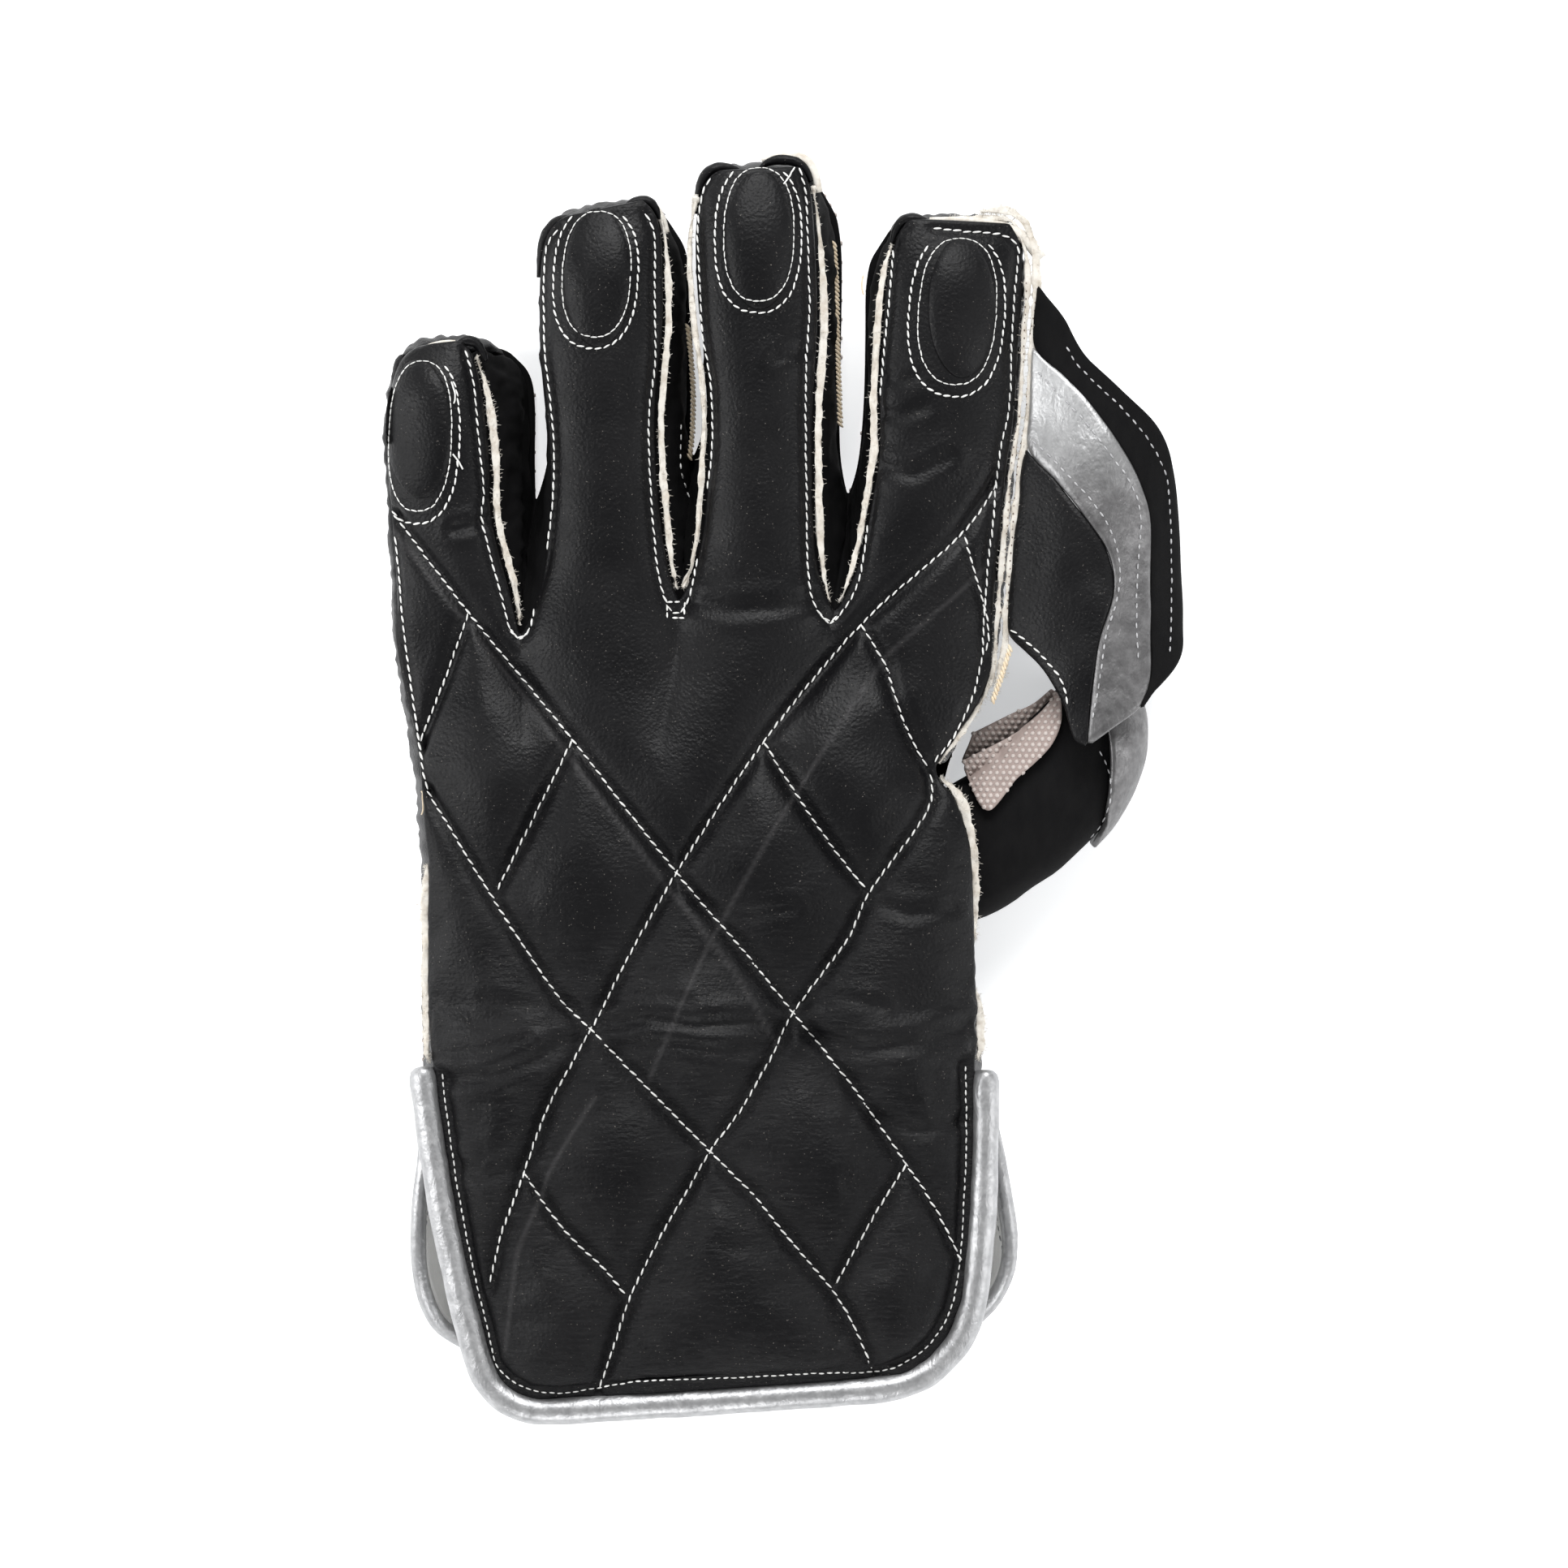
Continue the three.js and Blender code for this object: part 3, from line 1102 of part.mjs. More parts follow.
const [edgeSteps, innerSteps, outerSteps] = [4, 12, 16];
const innerSeamLine = alongLine(webLines.innerSeam, innerSteps);
const outerSeamLine = alongLine(webLines.outerSeam, outerSteps);
const [rimTop, outerTop, footTop] = [webLines.rim, webLines.outerSeam, webLines.foot].map(([spot]) => spot.down);
const silverLeft = [...alongEdge(outerTop, footTop, edgeSteps), ...innerSeamLine];
const outerLeft = [...alongEdge(rimTop, outerTop, edgeSteps), ...outerSeamLine];
const rimWay = alongLine(webLines.rim, outerLeft.length - 1);
const innerPanel = webStrip(alongLine(webLines.foot, innerSteps), innerSeamLine, 3);
addPiece("web_inner_panel", innerPanel.geometry(), "blackLeather");
addPiece("web_silver_band", webStrip(silverLeft, outerSeamLine, 3).geometry(), "silverLeather");
addPiece("web_outer_band", webStrip(outerLeft, rimWay, 2).geometry(), "blackLeather");

export default glove;
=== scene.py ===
import math
import random

import bmesh
import bpy
import numpy as np
from mathutils import Matrix, Vector, noise
from mathutils.bvhtree import BVHTree


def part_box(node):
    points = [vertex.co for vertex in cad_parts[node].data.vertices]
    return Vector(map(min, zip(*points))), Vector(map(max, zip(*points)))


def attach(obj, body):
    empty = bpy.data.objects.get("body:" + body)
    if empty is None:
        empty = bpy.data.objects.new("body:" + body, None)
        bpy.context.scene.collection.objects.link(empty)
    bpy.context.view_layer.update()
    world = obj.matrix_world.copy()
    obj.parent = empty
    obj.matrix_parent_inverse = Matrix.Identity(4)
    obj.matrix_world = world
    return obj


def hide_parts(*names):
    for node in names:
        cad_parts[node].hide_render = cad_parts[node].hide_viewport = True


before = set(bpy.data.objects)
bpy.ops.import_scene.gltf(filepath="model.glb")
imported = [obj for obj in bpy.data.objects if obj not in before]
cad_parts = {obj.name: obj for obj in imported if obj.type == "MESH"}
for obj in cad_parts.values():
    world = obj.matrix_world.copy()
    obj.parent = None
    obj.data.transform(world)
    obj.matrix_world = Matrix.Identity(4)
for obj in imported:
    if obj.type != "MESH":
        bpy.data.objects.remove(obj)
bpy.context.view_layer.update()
random.seed(11)
mm = 0.001
print("frame loaded")

# where a pixel of the photograph lies on the glove, in metres
picture = {"side": 1932, "middleAcross": 866, "middleDown": 1050, "pixel": 0.205 * mm}


def spot(across, down):
    return Vector((
        (across - picture["middleAcross"]) * picture["pixel"],
        (picture["middleDown"] - down) * picture["pixel"],
        0,
    ))


def spots(*flat):
    # a line through places given as across, down, across, down
    return [spot(*pair) for pair in zip(flat[::2], flat[1::2])]


# materials


def startMaterial(name, color, roughness, metallic=0.0, specular=0.5, sheen=0.0):
    material = bpy.data.materials.new(name)
    material.use_nodes = True
    tree = material.node_tree
    surface = tree.nodes["Principled BSDF"]
    surface.inputs["Base Color"].default_value = (*color, 1)
    surface.inputs["Roughness"].default_value = roughness
    surface.inputs["Metallic"].default_value = metallic
    surface.inputs["Specular IOR Level"].default_value = specular
    surface.inputs["Sheen Weight"].default_value = sheen
    place = tree.nodes.new("ShaderNodeTexCoord").outputs["Object"]
    return material, tree, surface, place


def stretched(tree, place, scale):
    mapping = tree.nodes.new("ShaderNodeMapping")
    mapping.inputs["Scale"].default_value = scale
    tree.links.new(place, mapping.inputs["Vector"])
    return mapping.outputs["Vector"]


def noiseOf(tree, place, scale, detail=3.0, roughness=0.55, distortion=0.0):
    node = tree.nodes.new("ShaderNodeTexNoise")
    node.inputs["Scale"].default_value = scale
    node.inputs["Detail"].default_value = detail
    node.inputs["Roughness"].default_value = roughness
    node.inputs["Distortion"].default_value = distortion
    tree.links.new(place, node.inputs["Vector"])
    return node.outputs["Fac"]


def cellsOf(tree, place, scale, feature="F1"):
    node = tree.nodes.new("ShaderNodeTexVoronoi")
    node.feature = feature
    node.inputs["Scale"].default_value = scale
    tree.links.new(place, node.inputs["Vector"])
    return node.outputs["Distance"]


def ranged(tree, value, low, high, start=0.0, end=1.0):
    node = tree.nodes.new("ShaderNodeMapRange")
    node.inputs["From Min"].default_value = low
    node.inputs["From Max"].default_value = high
    node.inputs["To Min"].default_value = start
    node.inputs["To Max"].default_value = end
    tree.links.new(value, node.inputs["Value"])
    return node.outputs["Result"]


def mathOf(tree, kind, first, second):
    node = tree.nodes.new("ShaderNodeMath")
    node.operation = kind
    for socket, value in zip(node.inputs, (first, second)):
        if isinstance(value, (int, float)):
            socket.default_value = value
        else:
            tree.links.new(value, socket)
    return node.outputs["Value"]


def blended(tree, factor, first, second):
    node = tree.nodes.new("ShaderNodeMix")
    node.data_type = "RGBA"
    tree.links.new(factor, node.inputs[0])
    for socket, value in ((node.inputs[6], first), (node.inputs[7], second)):
        if isinstance(value, tuple):
            socket.default_value = (*value, 1)
        else:
            tree.links.new(value, socket)
    return node.outputs[2]


def embossed(tree, surface, heights):
    # heights: a value, how far it stands out in metres, and how strongly
    last = None
    for value, distance, strength in heights:
        bump = tree.nodes.new("ShaderNodeBump")
        bump.inputs["Distance"].default_value = distance
        bump.inputs["Strength"].default_value = strength
        tree.links.new(value, bump.inputs["Height"])
        if last is not None:
            tree.links.new(last, bump.inputs["Normal"])
        last = bump.outputs["Normal"]
    tree.links.new(last, surface.inputs["Normal"])


def markOf(tree, name):
    node = tree.nodes.new("ShaderNodeAttribute")
    node.attribute_name = name
    return node.outputs["Fac"]


def makeBlackLeather():
    material, tree, surface, place = startMaterial(
        "black_leather_grain", (0.01, 0.01, 0.011), 0.4, specular=0.17)
    grain = cellsOf(tree, place, 1250, "SMOOTH_F1")
    pores = noiseOf(tree, place, 2300, 4)
    crinkle = noiseOf(tree, stretched(tree, place, (0.35, 1.6, 0.6)), 620, 5, 0.62, 0.5)
    creased = mathOf(tree, "MULTIPLY", crinkle, markOf(tree, "creased"))
    embossed(tree, surface, [
        (grain, 0.3 * mm, 0.42),
        (pores, 0.2 * mm, 0.42),
        (creased, 1.0 * mm, 0.7),
    ])
    dust = ranged(tree, noiseOf(tree, place, 1900, 2), 0.7, 0.74)
    film = ranged(tree, noiseOf(tree, place, 38, 4), 0.42, 0.75, 0.0, 0.18)
    marks = mathOf(tree, "MAXIMUM", film, markOf(tree, "chalk"))
    color = blended(tree, marks, (0.003, 0.003, 0.0036), (0.03, 0.029, 0.03))
    color = blended(tree, dust, color, (0.13, 0.12, 0.11))
    tree.links.new(color, surface.inputs["Base Color"])
    rough = ranged(tree, noiseOf(tree, place, 90, 5), 0.3, 0.7, 0.33, 0.46)
    tree.links.new(rough, surface.inputs["Roughness"])
    return material


def makeBlackSuede():
    material, tree, surface, place = startMaterial(
        "black_suede_nap", (0.004, 0.004, 0.0045), 0.85, specular=0.1)
    nap = noiseOf(tree, place, 3200, 4, 0.7)
    brushed = noiseOf(tree, stretched(tree, place, (1, 0.4, 1)), 420, 4)
    embossed(tree, surface, [(nap, 0.2 * mm, 0.6)])
    color = blended(tree, brushed, (0.0025, 0.0025, 0.003), (0.008, 0.0078, 0.008))
    tree.links.new(color, surface.inputs["Base Color"])
    return material


def makeSilverLeather(name, color, shade, fromBelow=None):
    # fromBelow: the stretch along the glove over which the painted shade gives way to a painted
    # lighter tone towards the top
    material, tree, surface, place = startMaterial(name, color, 0.36, metallic=0.82)
    grain = cellsOf(tree, place, 1350, "SMOOTH_F1")
    crumple = noiseOf(tree, stretched(tree, place, (1.5, 0.8, 1)), 240, 3, 0.55, 0.6)
    embossed(tree, surface, [(crumple, 0.9 * mm, 0.35), (grain, 0.12 * mm, 0.35)])
    worn = ranged(tree, noiseOf(tree, place, 320, 4, 0.6), 0.36, 0.66)
    tone = blended(tree, worn, shade, color)
    # painted light and shade: the base colour lightens towards higher y, standing in for a top
    # that catches the light and a lower part in shade
    if fromBelow:
        split = tree.nodes.new("ShaderNodeSeparateXYZ")
        tree.links.new(place, split.inputs["Vector"])
        paintedLightShare = ranged(tree, split.outputs["Y"], *fromBelow)
        tone = blended(tree, paintedLightShare, tone, (0.5, 0.505, 0.51))
    tree.links.new(tone, surface.inputs["Base Color"])
    rough = ranged(tree, noiseOf(tree, place, 700, 3), 0.3, 0.7, 0.38, 0.5)
    tree.links.new(rough, surface.inputs["Roughness"])
    return material


def makeRawLeather():
    material, tree, surface, place = startMaterial(
        "raw_cream_leather", (0.82, 0.77, 0.68), 0.95, specular=0.2, sheen=0.25)
    fibres = noiseOf(tree, place, 2900, 5, 0.75)
    clumps = noiseOf(tree, place, 700, 4, 0.6)
    embossed(tree, surface, [(clumps, 0.5 * mm, 0.5), (fibres, 0.3 * mm, 0.7)])
    soiled = ranged(tree, noiseOf(tree, place, 330, 5, 0.65), 0.4, 0.72)
    color = blended(tree, soiled, (0.78, 0.75, 0.69), (0.56, 0.5, 0.42))
    tree.links.new(color, surface.inputs["Base Color"])
    return material


def makePaleLining():
    material, tree, surface, place = startMaterial(
        "pale_grey_lining", (0.8, 0.8, 0.78), 0.5, specular=0.4)
    weave = noiseOf(tree, place, 2400, 3)
    rumple = noiseOf(tree, stretched(tree, place, (1, 0.5, 1)), 85, 4)
    embossed(tree, surface, [(rumple, 0.9 * mm, 0.4), (weave, 0.1 * mm, 0.3)])
    tone = ranged(tree, noiseOf(tree, place, 60, 4), 0.3, 0.7)
    color = blended(tree, tone, (0.84, 0.84, 0.82), (0.93, 0.93, 0.91))
    tree.links.new(color, surface.inputs["Base Color"])
    return material


def rubberFinish(name, color, shade):
    material, tree, surface, place = startMaterial(name, color, 0.72, specular=0.35)
    skin = noiseOf(tree, place, 2200, 3)
    embossed(tree, surface, [(skin, 0.12 * mm, 0.4)])
    tone = ranged(tree, noiseOf(tree, place, 150, 4), 0.35, 0.7)
    tree.links.new(blended(tree, tone, color, shade), surface.inputs["Base Color"])
    return material


def makeThread(name, color, shade):
    material, tree, surface, place = startMaterial(name, color, 0.6, specular=0.4, sheen=0.2)
    twist = noiseOf(tree, place, 5200, 2)
    embossed(tree, surface, [(twist, 0.1 * mm, 0.5)])
    tone = ranged(tree, noiseOf(tree, place, 900, 2), 0.35, 0.65)
    tree.links.new(blended(tree, tone, color, shade), surface.inputs["Base Color"])
    return material


finishes = {
    "leather": makeBlackLeather(),
    "suede": makeBlackSuede(),
    "silver": makeSilverLeather("silver_foiled_leather", (0.46, 0.463, 0.47), (0.35, 0.353, 0.36)),
    # painted shade: a darker copy of the silver leather, lightening towards the top as painted
    # light
    "paintedShadeSilver": makeSilverLeather("silver_leather_painted_shade", (0.2, 0.198, 0.2),
                                    (0.13, 0.128, 0.13), (88 * mm, 118 * mm)),
    "raw": makeRawLeather(),
    "lining": makePaleLining(),
    # the rubber's own pinkish tone, kept darker than the pimples as painted shade in the pits
    # between them
    "rubber": rubberFinish("rubber_ground_painted_shade", (0.38, 0.31, 0.285), (0.3, 0.24, 0.22)),
    "pimples": rubberFinish("rubber_pimples", (0.58, 0.52, 0.49), (0.48, 0.42, 0.39)),
    "thread": makeThread("white_thread", (0.86, 0.86, 0.84), (0.66, 0.66, 0.64)),
    "silverThread": makeThread("silver_grey_thread", (0.5, 0.5, 0.51), (0.34, 0.34, 0.35)),
    "hole": makeThread("stitch_hole", (0.2, 0.15, 0.12), (0.11, 0.08, 0.065)),
    "cord": makeThread("beige_thread", (0.82, 0.71, 0.54), (0.68, 0.55, 0.38)),
}
print("materials made")

# helpers


def newPiece(name, bm, finish, nodes=()):
    mesh = bpy.data.meshes.new(name)
    bm.to_mesh(mesh)
    bm.free()
    for polygon in mesh.polygons:
        polygon.use_smooth = True
    piece = bpy.data.objects.new(name, mesh)
    bpy.context.scene.collection.objects.link(piece)
    mesh.materials.append(finishes[finish])
    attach(piece, "root")
    if nodes:
        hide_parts(*nodes)
    return piece


form = {  # millimetres and degrees
    "weld": 0.002, "joinFaces": 35, "joinShapes": 75, "sharpTurn": 50,
    "uprightWithin": 0.01, "uprightTurn": 16,
}


def softForm(node, hem=0.42, corner=0.0):
    # a node's surface as quads, its rims creased so that they stay in place
    bm = bmesh.new()
    bm.from_mesh(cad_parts[node].data)
    bmesh.ops.remove_doubles(bm, verts=bm.verts[:], dist=form["weld"] * mm)
    bmesh.ops.join_triangles(
        bm, faces=bm.faces[:], angle_face_threshold=math.radians(form["joinFaces"]),
        angle_shape_threshold=math.radians(form["joinShapes"]))
    if corner:
        upright = [
            edge for edge in bm.edges
            if (edge.verts[0].co - edge.verts[1].co).xy.length < form["uprightWithin"] * mm
            and len(edge.link_faces) == 2
            and edge.calc_face_angle(0) > math.radians(form["uprightTurn"])]
        bmesh.ops.bevel(bm, geom=upright, offset=corner * mm, segments=3, profile=0.5,
                        affect="EDGES", clamp_overlap=True)
    crease = bm.edges.layers.float.new("crease_edge")
    for edge in bm.edges:
        if len(edge.link_faces) != 2:
            continue
        if edge.calc_face_angle(0) > math.radians(form["sharpTurn"]):
            edge[crease] = hem
    return bm


def smoothed(piece, levels):
    rounding = piece.modifiers.new("rounding", "SUBSURF")
    rounding.levels = levels
    rounding.render_levels = levels
    settle(piece)
    return piece


def settle(piece):
    # the modifiers' result becomes the mesh
    graph = bpy.context.evaluated_depsgraph_get()
    graph.update()
    mesh = bpy.data.meshes.new_from_object(piece.evaluated_get(graph))
    old = piece.data
    piece.modifiers.clear()
    piece.data = mesh
    mesh.name = piece.name
    bpy.data.meshes.remove(old)


def vectorsOf(items, name):
    flat = np.empty(len(items) * 3)
    items.foreach_get(name, flat)
    return flat.reshape(-1, 3)


def placesOf(piece):
    return vectorsOf(piece.data.vertices, "co")


def normalsOf(piece):
    return vectorsOf(piece.data.vertex_normals, "vector")


def putPlaces(piece, places):
    piece.data.vertices.foreach_set("co", places.ravel())
    piece.data.update()


def roughness(places, size, seed=0.0):
    # soft noise from -1 to 1 at each place
    away = Vector((seed, seed * 1.7, seed * 0.6))
    return np.array([noise.noise(Vector(place) / size + away) for place in places])


def awayFrom(places, line):
    # how far each place lies from a line, seen from above
    best = np.full(len(places), 1.0)
    flat = places[:, :2]
    for first, second in zip(line, line[1:]):
        a = np.array(first[:2])
        run = np.array(second[:2]) - a
        share = np.clip(((flat - a) @ run) / max(run @ run, 1e-12), 0, 1)
        gone = flat - a - share[:, None] * run
        best = np.minimum(best, np.hypot(gone[:, 0], gone[:, 1]))
    return best


def awayFromAll(places, lines):
    best = np.full(len(places), 1.0)
    for line in lines:
        best = np.minimum(best, awayFrom(places, line))
    return best


def eased(value, start, end):
    share = np.clip((value - start) / (end - start), 0, 1)
    return share * share * (3 - 2 * share)


def easedOver(value, span):
    # the same over a span in millimetres
    return eased(value, span[0] * mm, span[1] * mm)


def hump(away, wide):
    return np.exp(-((away / wide) ** 2))


def walk(line, step):
    # even steps along a smooth line through the given spots
    knots = [line[0] * 2 - line[1], *line, line[-1] * 2 - line[-2]]
    fine = []
    for a, b, c, d in zip(knots, knots[1:], knots[2:], knots[3:]):
        for part in range(10):
            t = part / 10
            fine.append(0.5 * (
                2 * b + (c - a) * t + (2 * a - 5 * b + 4 * c - d) * t * t
                + (3 * b - a - 3 * c + d) * t * t * t))
    fine.append(line[-1].copy())
    steps = [fine[0]]
    left = step
    for a, b in zip(fine, fine[1:]):
        length = (b - a).length
        gone = 0.0
        while length - gone >= left:
            gone += left
            steps.append(a.lerp(b, gone / length))
            left = step
        left -= length - gone
    return steps


def marked(piece, name, values):
    layer = piece.data.attributes.new(name, "FLOAT", "POINT")
    layer.data.foreach_set("value", np.clip(values, 0, 1).astype(np.float32))


offFloor = 0.05 * mm


def coverNode(node, name, finish, lump, levels=2, hem=0.42, corner=0.0):
    # lump: width and height of the unevenness in millimetres
    piece = newPiece(name, softForm(node, hem, corner), finish, [node])
    smoothed(piece, levels)
    size, height = lump
    if height:
        places = placesOf(piece)
        rise = roughness(places, size * mm, len(name)) * height * mm
        places = places + normalsOf(piece) * rise[:, None]
        places[:, 2] = np.maximum(places[:, 2], offFloor)
        putPlaces(piece, places)
    return piece


def surfaceOf(*pieces):
    # one tree to cast rays on, of several pieces
    verts = []
    faces = []
    for piece in pieces:
        start = len(verts)
        verts += [tuple(vertex.co) for vertex in piece.data.vertices]
        faces += [[start + index for index in face.vertices] for face in piece.data.polygons]
    return BVHTree.FromPolygons(verts, faces)


def unitShape(sides, rings):
    # a small round shape of few faces, to be repeated many times
    bm = bmesh.new()
    bmesh.ops.create_uvsphere(bm, u_segments=sides, v_segments=rings, radius=1)
    bm.verts.index_update()
    corners = np.array([tuple(vertex.co) for vertex in bm.verts])
    faces = [tuple(vertex.index for vertex in face.verts) for face in bm.faces]
    bm.free()
    # in a fixed order, each from its lowest corner
    firsts = [face.index(min(face)) for face in faces]
    return corners, sorted(face[at:] + face[:at] for face, at in zip(faces, firsts))


def upright(place, normal, scale):
    return Matrix.Translation(place) @ normal.to_track_quat("Z", "Y").to_matrix().to_4x4() @ scale


def barAt(middle, axes, angle, size):
    # a bar along the first axis, turned about the last by an angle in degrees
    turn = Matrix(axes).transposed().to_4x4() @ Matrix.Rotation(math.radians(angle), 4, "Z")
    roll = Matrix.Rotation(math.pi / 2, 4, "Y")
    return Matrix.Translation(middle) @ turn @ Matrix.Diagonal((*size, 1)) @ roll


def manyOf(name, unit, places, finish):
    corners, faces = unit
    verts = []
    polygons = []
    for number, place in enumerate(places):
        grid = np.array(place)
        verts.append(corners @ grid[:3, :3].T + grid[:3, 3])
        start = number * len(corners)
        polygons += [tuple(start + index for index in face) for face in faces]
    mesh = bpy.data.meshes.new(name)
    mesh.from_pydata(np.concatenate(verts).tolist(), [], polygons)
    bm = bmesh.new()
    bm.from_mesh(mesh)
    bpy.data.meshes.remove(mesh)
    return newPiece(name, bm, finish)


# the quilted back

quilting = [
    spots(484, 633, 577, 755, 706, 912, 834, 1075, 915, 1169, 977, 1246, 1050, 1337, 1116, 1432,
          1152, 1487, 1182, 1548, 1188, 1559),
    spots(1230, 594, 1185, 658, 1061, 769, 941, 914, 834, 1075, 774, 1180, 730, 1266, 678, 1359,
          647, 1443, 619, 1519, 604, 1584),
    spots(526, 974, 608, 1106, 686, 1223, 730, 1268, 797, 1337, 875, 1416, 932, 1473, 979, 1532,
          1026, 1587, 1055, 1637, 1077, 1691),
    spots(1147, 954, 1148, 985, 1130, 1019, 1070, 1100, 1044, 1157, 977, 1246, 954, 1294,
          915, 1362, 875, 1416, 851, 1459, 813, 1523, 776, 1598, 763, 1639, 738, 1712),
    spots(577, 755, 548, 835, 516, 917),
    spots(706, 912, 657, 1010, 608, 1106),
    spots(941, 914, 980, 977, 1032, 1052, 1070, 1100),
    spots(1061, 769, 1091, 820, 1109, 878, 1126, 916, 1147, 954),
    spots(647, 1443, 690, 1505, 751, 1566, 776, 1598),
    spots(1116, 1432, 1071, 1505, 1025, 1587),
]
backEdges = [
    spots(572, 430, 582, 470, 589, 540, 595, 604, 593, 640, 608, 700, 620, 745, 628, 776,
          641, 786, 653, 776, 661, 740, 672, 690, 681, 620, 683, 560, 679, 500, 672, 440,
          670, 380, 671, 320, 677, 294, 692, 279),
    spots(795, 262, 806, 290, 806, 360, 807, 440, 800, 500, 799, 560, 804, 640, 810, 700,
          820, 742, 834, 758, 848, 742, 858, 700, 866, 640, 877, 560, 877, 480, 866, 410,
          862, 340, 860, 280, 866, 235, 884, 208),
    spots(985, 205, 993, 240, 995, 300, 997, 380, 993, 440, 992, 520, 993, 600, 995, 700,
          1003, 745, 1022, 766, 1042, 748, 1058, 716, 1071, 640, 1078, 570, 1084, 500, 1090, 430,
          1098, 350, 1104, 290, 1118, 278),
    spots(1150, 280, 1200, 284, 1240, 288, 1256, 305, 1252, 345, 1247, 420, 1244, 500, 1232, 560,
          1224, 640, 1217, 700, 1212, 767, 1210, 809, 1198, 859, 1176, 905, 1150, 940),
    spots(486, 660, 490, 700, 498, 785, 507, 850, 516, 917, 527, 975),
    spots(1189, 661, 1217, 767, 1214, 809),
]
hemSeams = [
    spots(546, 1322, 554, 1389, 568, 1478, 588, 1578, 602, 1632, 612, 1676, 628, 1694, 655, 1708,
          694, 1712, 736, 1706, 797, 1696, 904, 1692, 1000, 1687, 1085, 1685, 1126, 1668,
          1150, 1646, 1170, 1612, 1182, 1555, 1188, 1459, 1190, 1396, 1189, 1310),
]
creases = [  # line, depth and half width in millimetres
    (spots(745, 1262, 800, 1252, 860, 1262, 920, 1258, 972, 1268), 1.5, 1.9),
    (spots(760, 1288, 830, 1282, 900, 1292, 960, 1284), 1.0, 1.7),
    (spots(560, 1328, 610, 1322, 660, 1302, 715, 1276), 1.3, 1.9),
    (spots(545, 1300, 600, 1296, 650, 1282), 0.6, 1.5),
    (spots(996, 1272, 1060, 1292, 1130, 1284, 1192, 1262), 1.3, 1.9),
    (spots(1075, 1372, 1130, 1392, 1192, 1378), 1.0, 1.7),
    (spots(558, 1430, 600, 1448, 640, 1436), 0.9, 1.6),
    (spots(560, 652, 585, 646, 602, 640), 0.9, 1.5),
    (spots(1088, 462, 1108, 470, 1134, 462), 0.5, 1.2),
    (spots(1086, 508, 1110, 512, 1140, 500), 0.6, 1.4),
    (spots(1090, 575, 1125, 585, 1170, 562), 0.7, 1.6),
    (spots(955, 440, 980, 436, 1000, 430), 0.6, 1.4),
    (spots(850, 742, 900, 752, 960, 748, 1000, 738), 0.7, 1.9),
    (spots(1076, 1112, 1120, 1126, 1170, 1120), 0.6, 1.5),
    (spots(860, 1110, 920, 1128, 975, 1118), 0.5, 1.6),
    (spots(740, 1236, 800, 1228, 850, 1236), 0.6, 1.5),
    (spots(985, 1236, 1030, 1228, 1080, 1238), 0.5, 1.5),
    (spots(600, 1230, 650, 1238, 700, 1234), 0.5, 1.5),
]
chalkLines = [
    spots(480, 650, 640, 850, 790, 1050, 900, 1190, 960, 1290),
    spots(1215, 700, 1090, 810, 960, 1010, 870, 1170, 800, 1330),
    spots(735, 1350, 680, 1440, 640, 1540, 625, 1660),
]
back = {  # lengths in millimetres
    "hem": 0.4, "frames": 14, "mostMove": 4.0,
    "heldBeside": (1.2, 3.2), "heldSides": (0.1, 0.45), "stiffFingers": (30, 75),
    "fingerHold": 0.5, "looseCuff": (-55, 10), "slack": 0.9, "topSide": (0.15, 0.5),
    "groove": 2.0, "grooveHalf": 1.7, "lip": 0.3, "edgeGroove": 0.7,
    "dome": 1.3, "domeHalf": 9, "quiltedUpTo": (48, 75), "creasedUpTo": (-60, 40),
    "rippled": 0.22, "rippleWide": 2.6, "rippleBeside": 7, "uneven": 0.35, "unevenWide": 14,
    "chalk": 0.75, "chalkHalf": 0.55,
}
cloth = {
    "quality": 4, "mass": 0.25, "tension_stiffness": 12, "compression_stiffness": 8,
    "shear_stiffness": 5, "bending_stiffness": 0.6, "vertex_group_mass": "held",
    "use_pressure": True, "uniform_pressure_force": 8.0, "shrink_min": -0.012,
    "shrink_max": 0.0, "vertex_group_shrink": "loose",
}


def puffedOut(piece, held, slack):
    # cloth blown up from inside and held along its seams
    before = placesOf(piece).copy()
    pins = piece.vertex_groups.new(name="held")
    loose = piece.vertex_groups.new(name="loose")
    for index, (weight, ease) in enumerate(zip(held, slack)):
        if weight > 0.01:
            pins.add([index], float(weight), "REPLACE")
        loose.add([index], float(ease), "REPLACE")
    puff = piece.modifiers.new("puff", "CLOTH")
    for setting, value in cloth.items():
        setattr(puff.settings, setting, value)
    puff.settings.effector_weights.gravity = 0
    puff.collision_settings.use_collision = False
    puff.point_cache.frame_start = 1
    puff.point_cache.frame_end = back["frames"]
    for number in range(1, back["frames"] + 1):
        bpy.context.scene.frame_set(number)
    settle(piece)
    piece.vertex_groups.clear()
    move = placesOf(piece) - before
    length = np.linalg.norm(move, axis=1)
    most = back["mostMove"] * mm
    kept = np.where(length > most, most / np.maximum(length, 1e-9), 1.0)
    putPlaces(piece, before + move * kept[:, None])
    bpy.context.scene.frame_set(1)


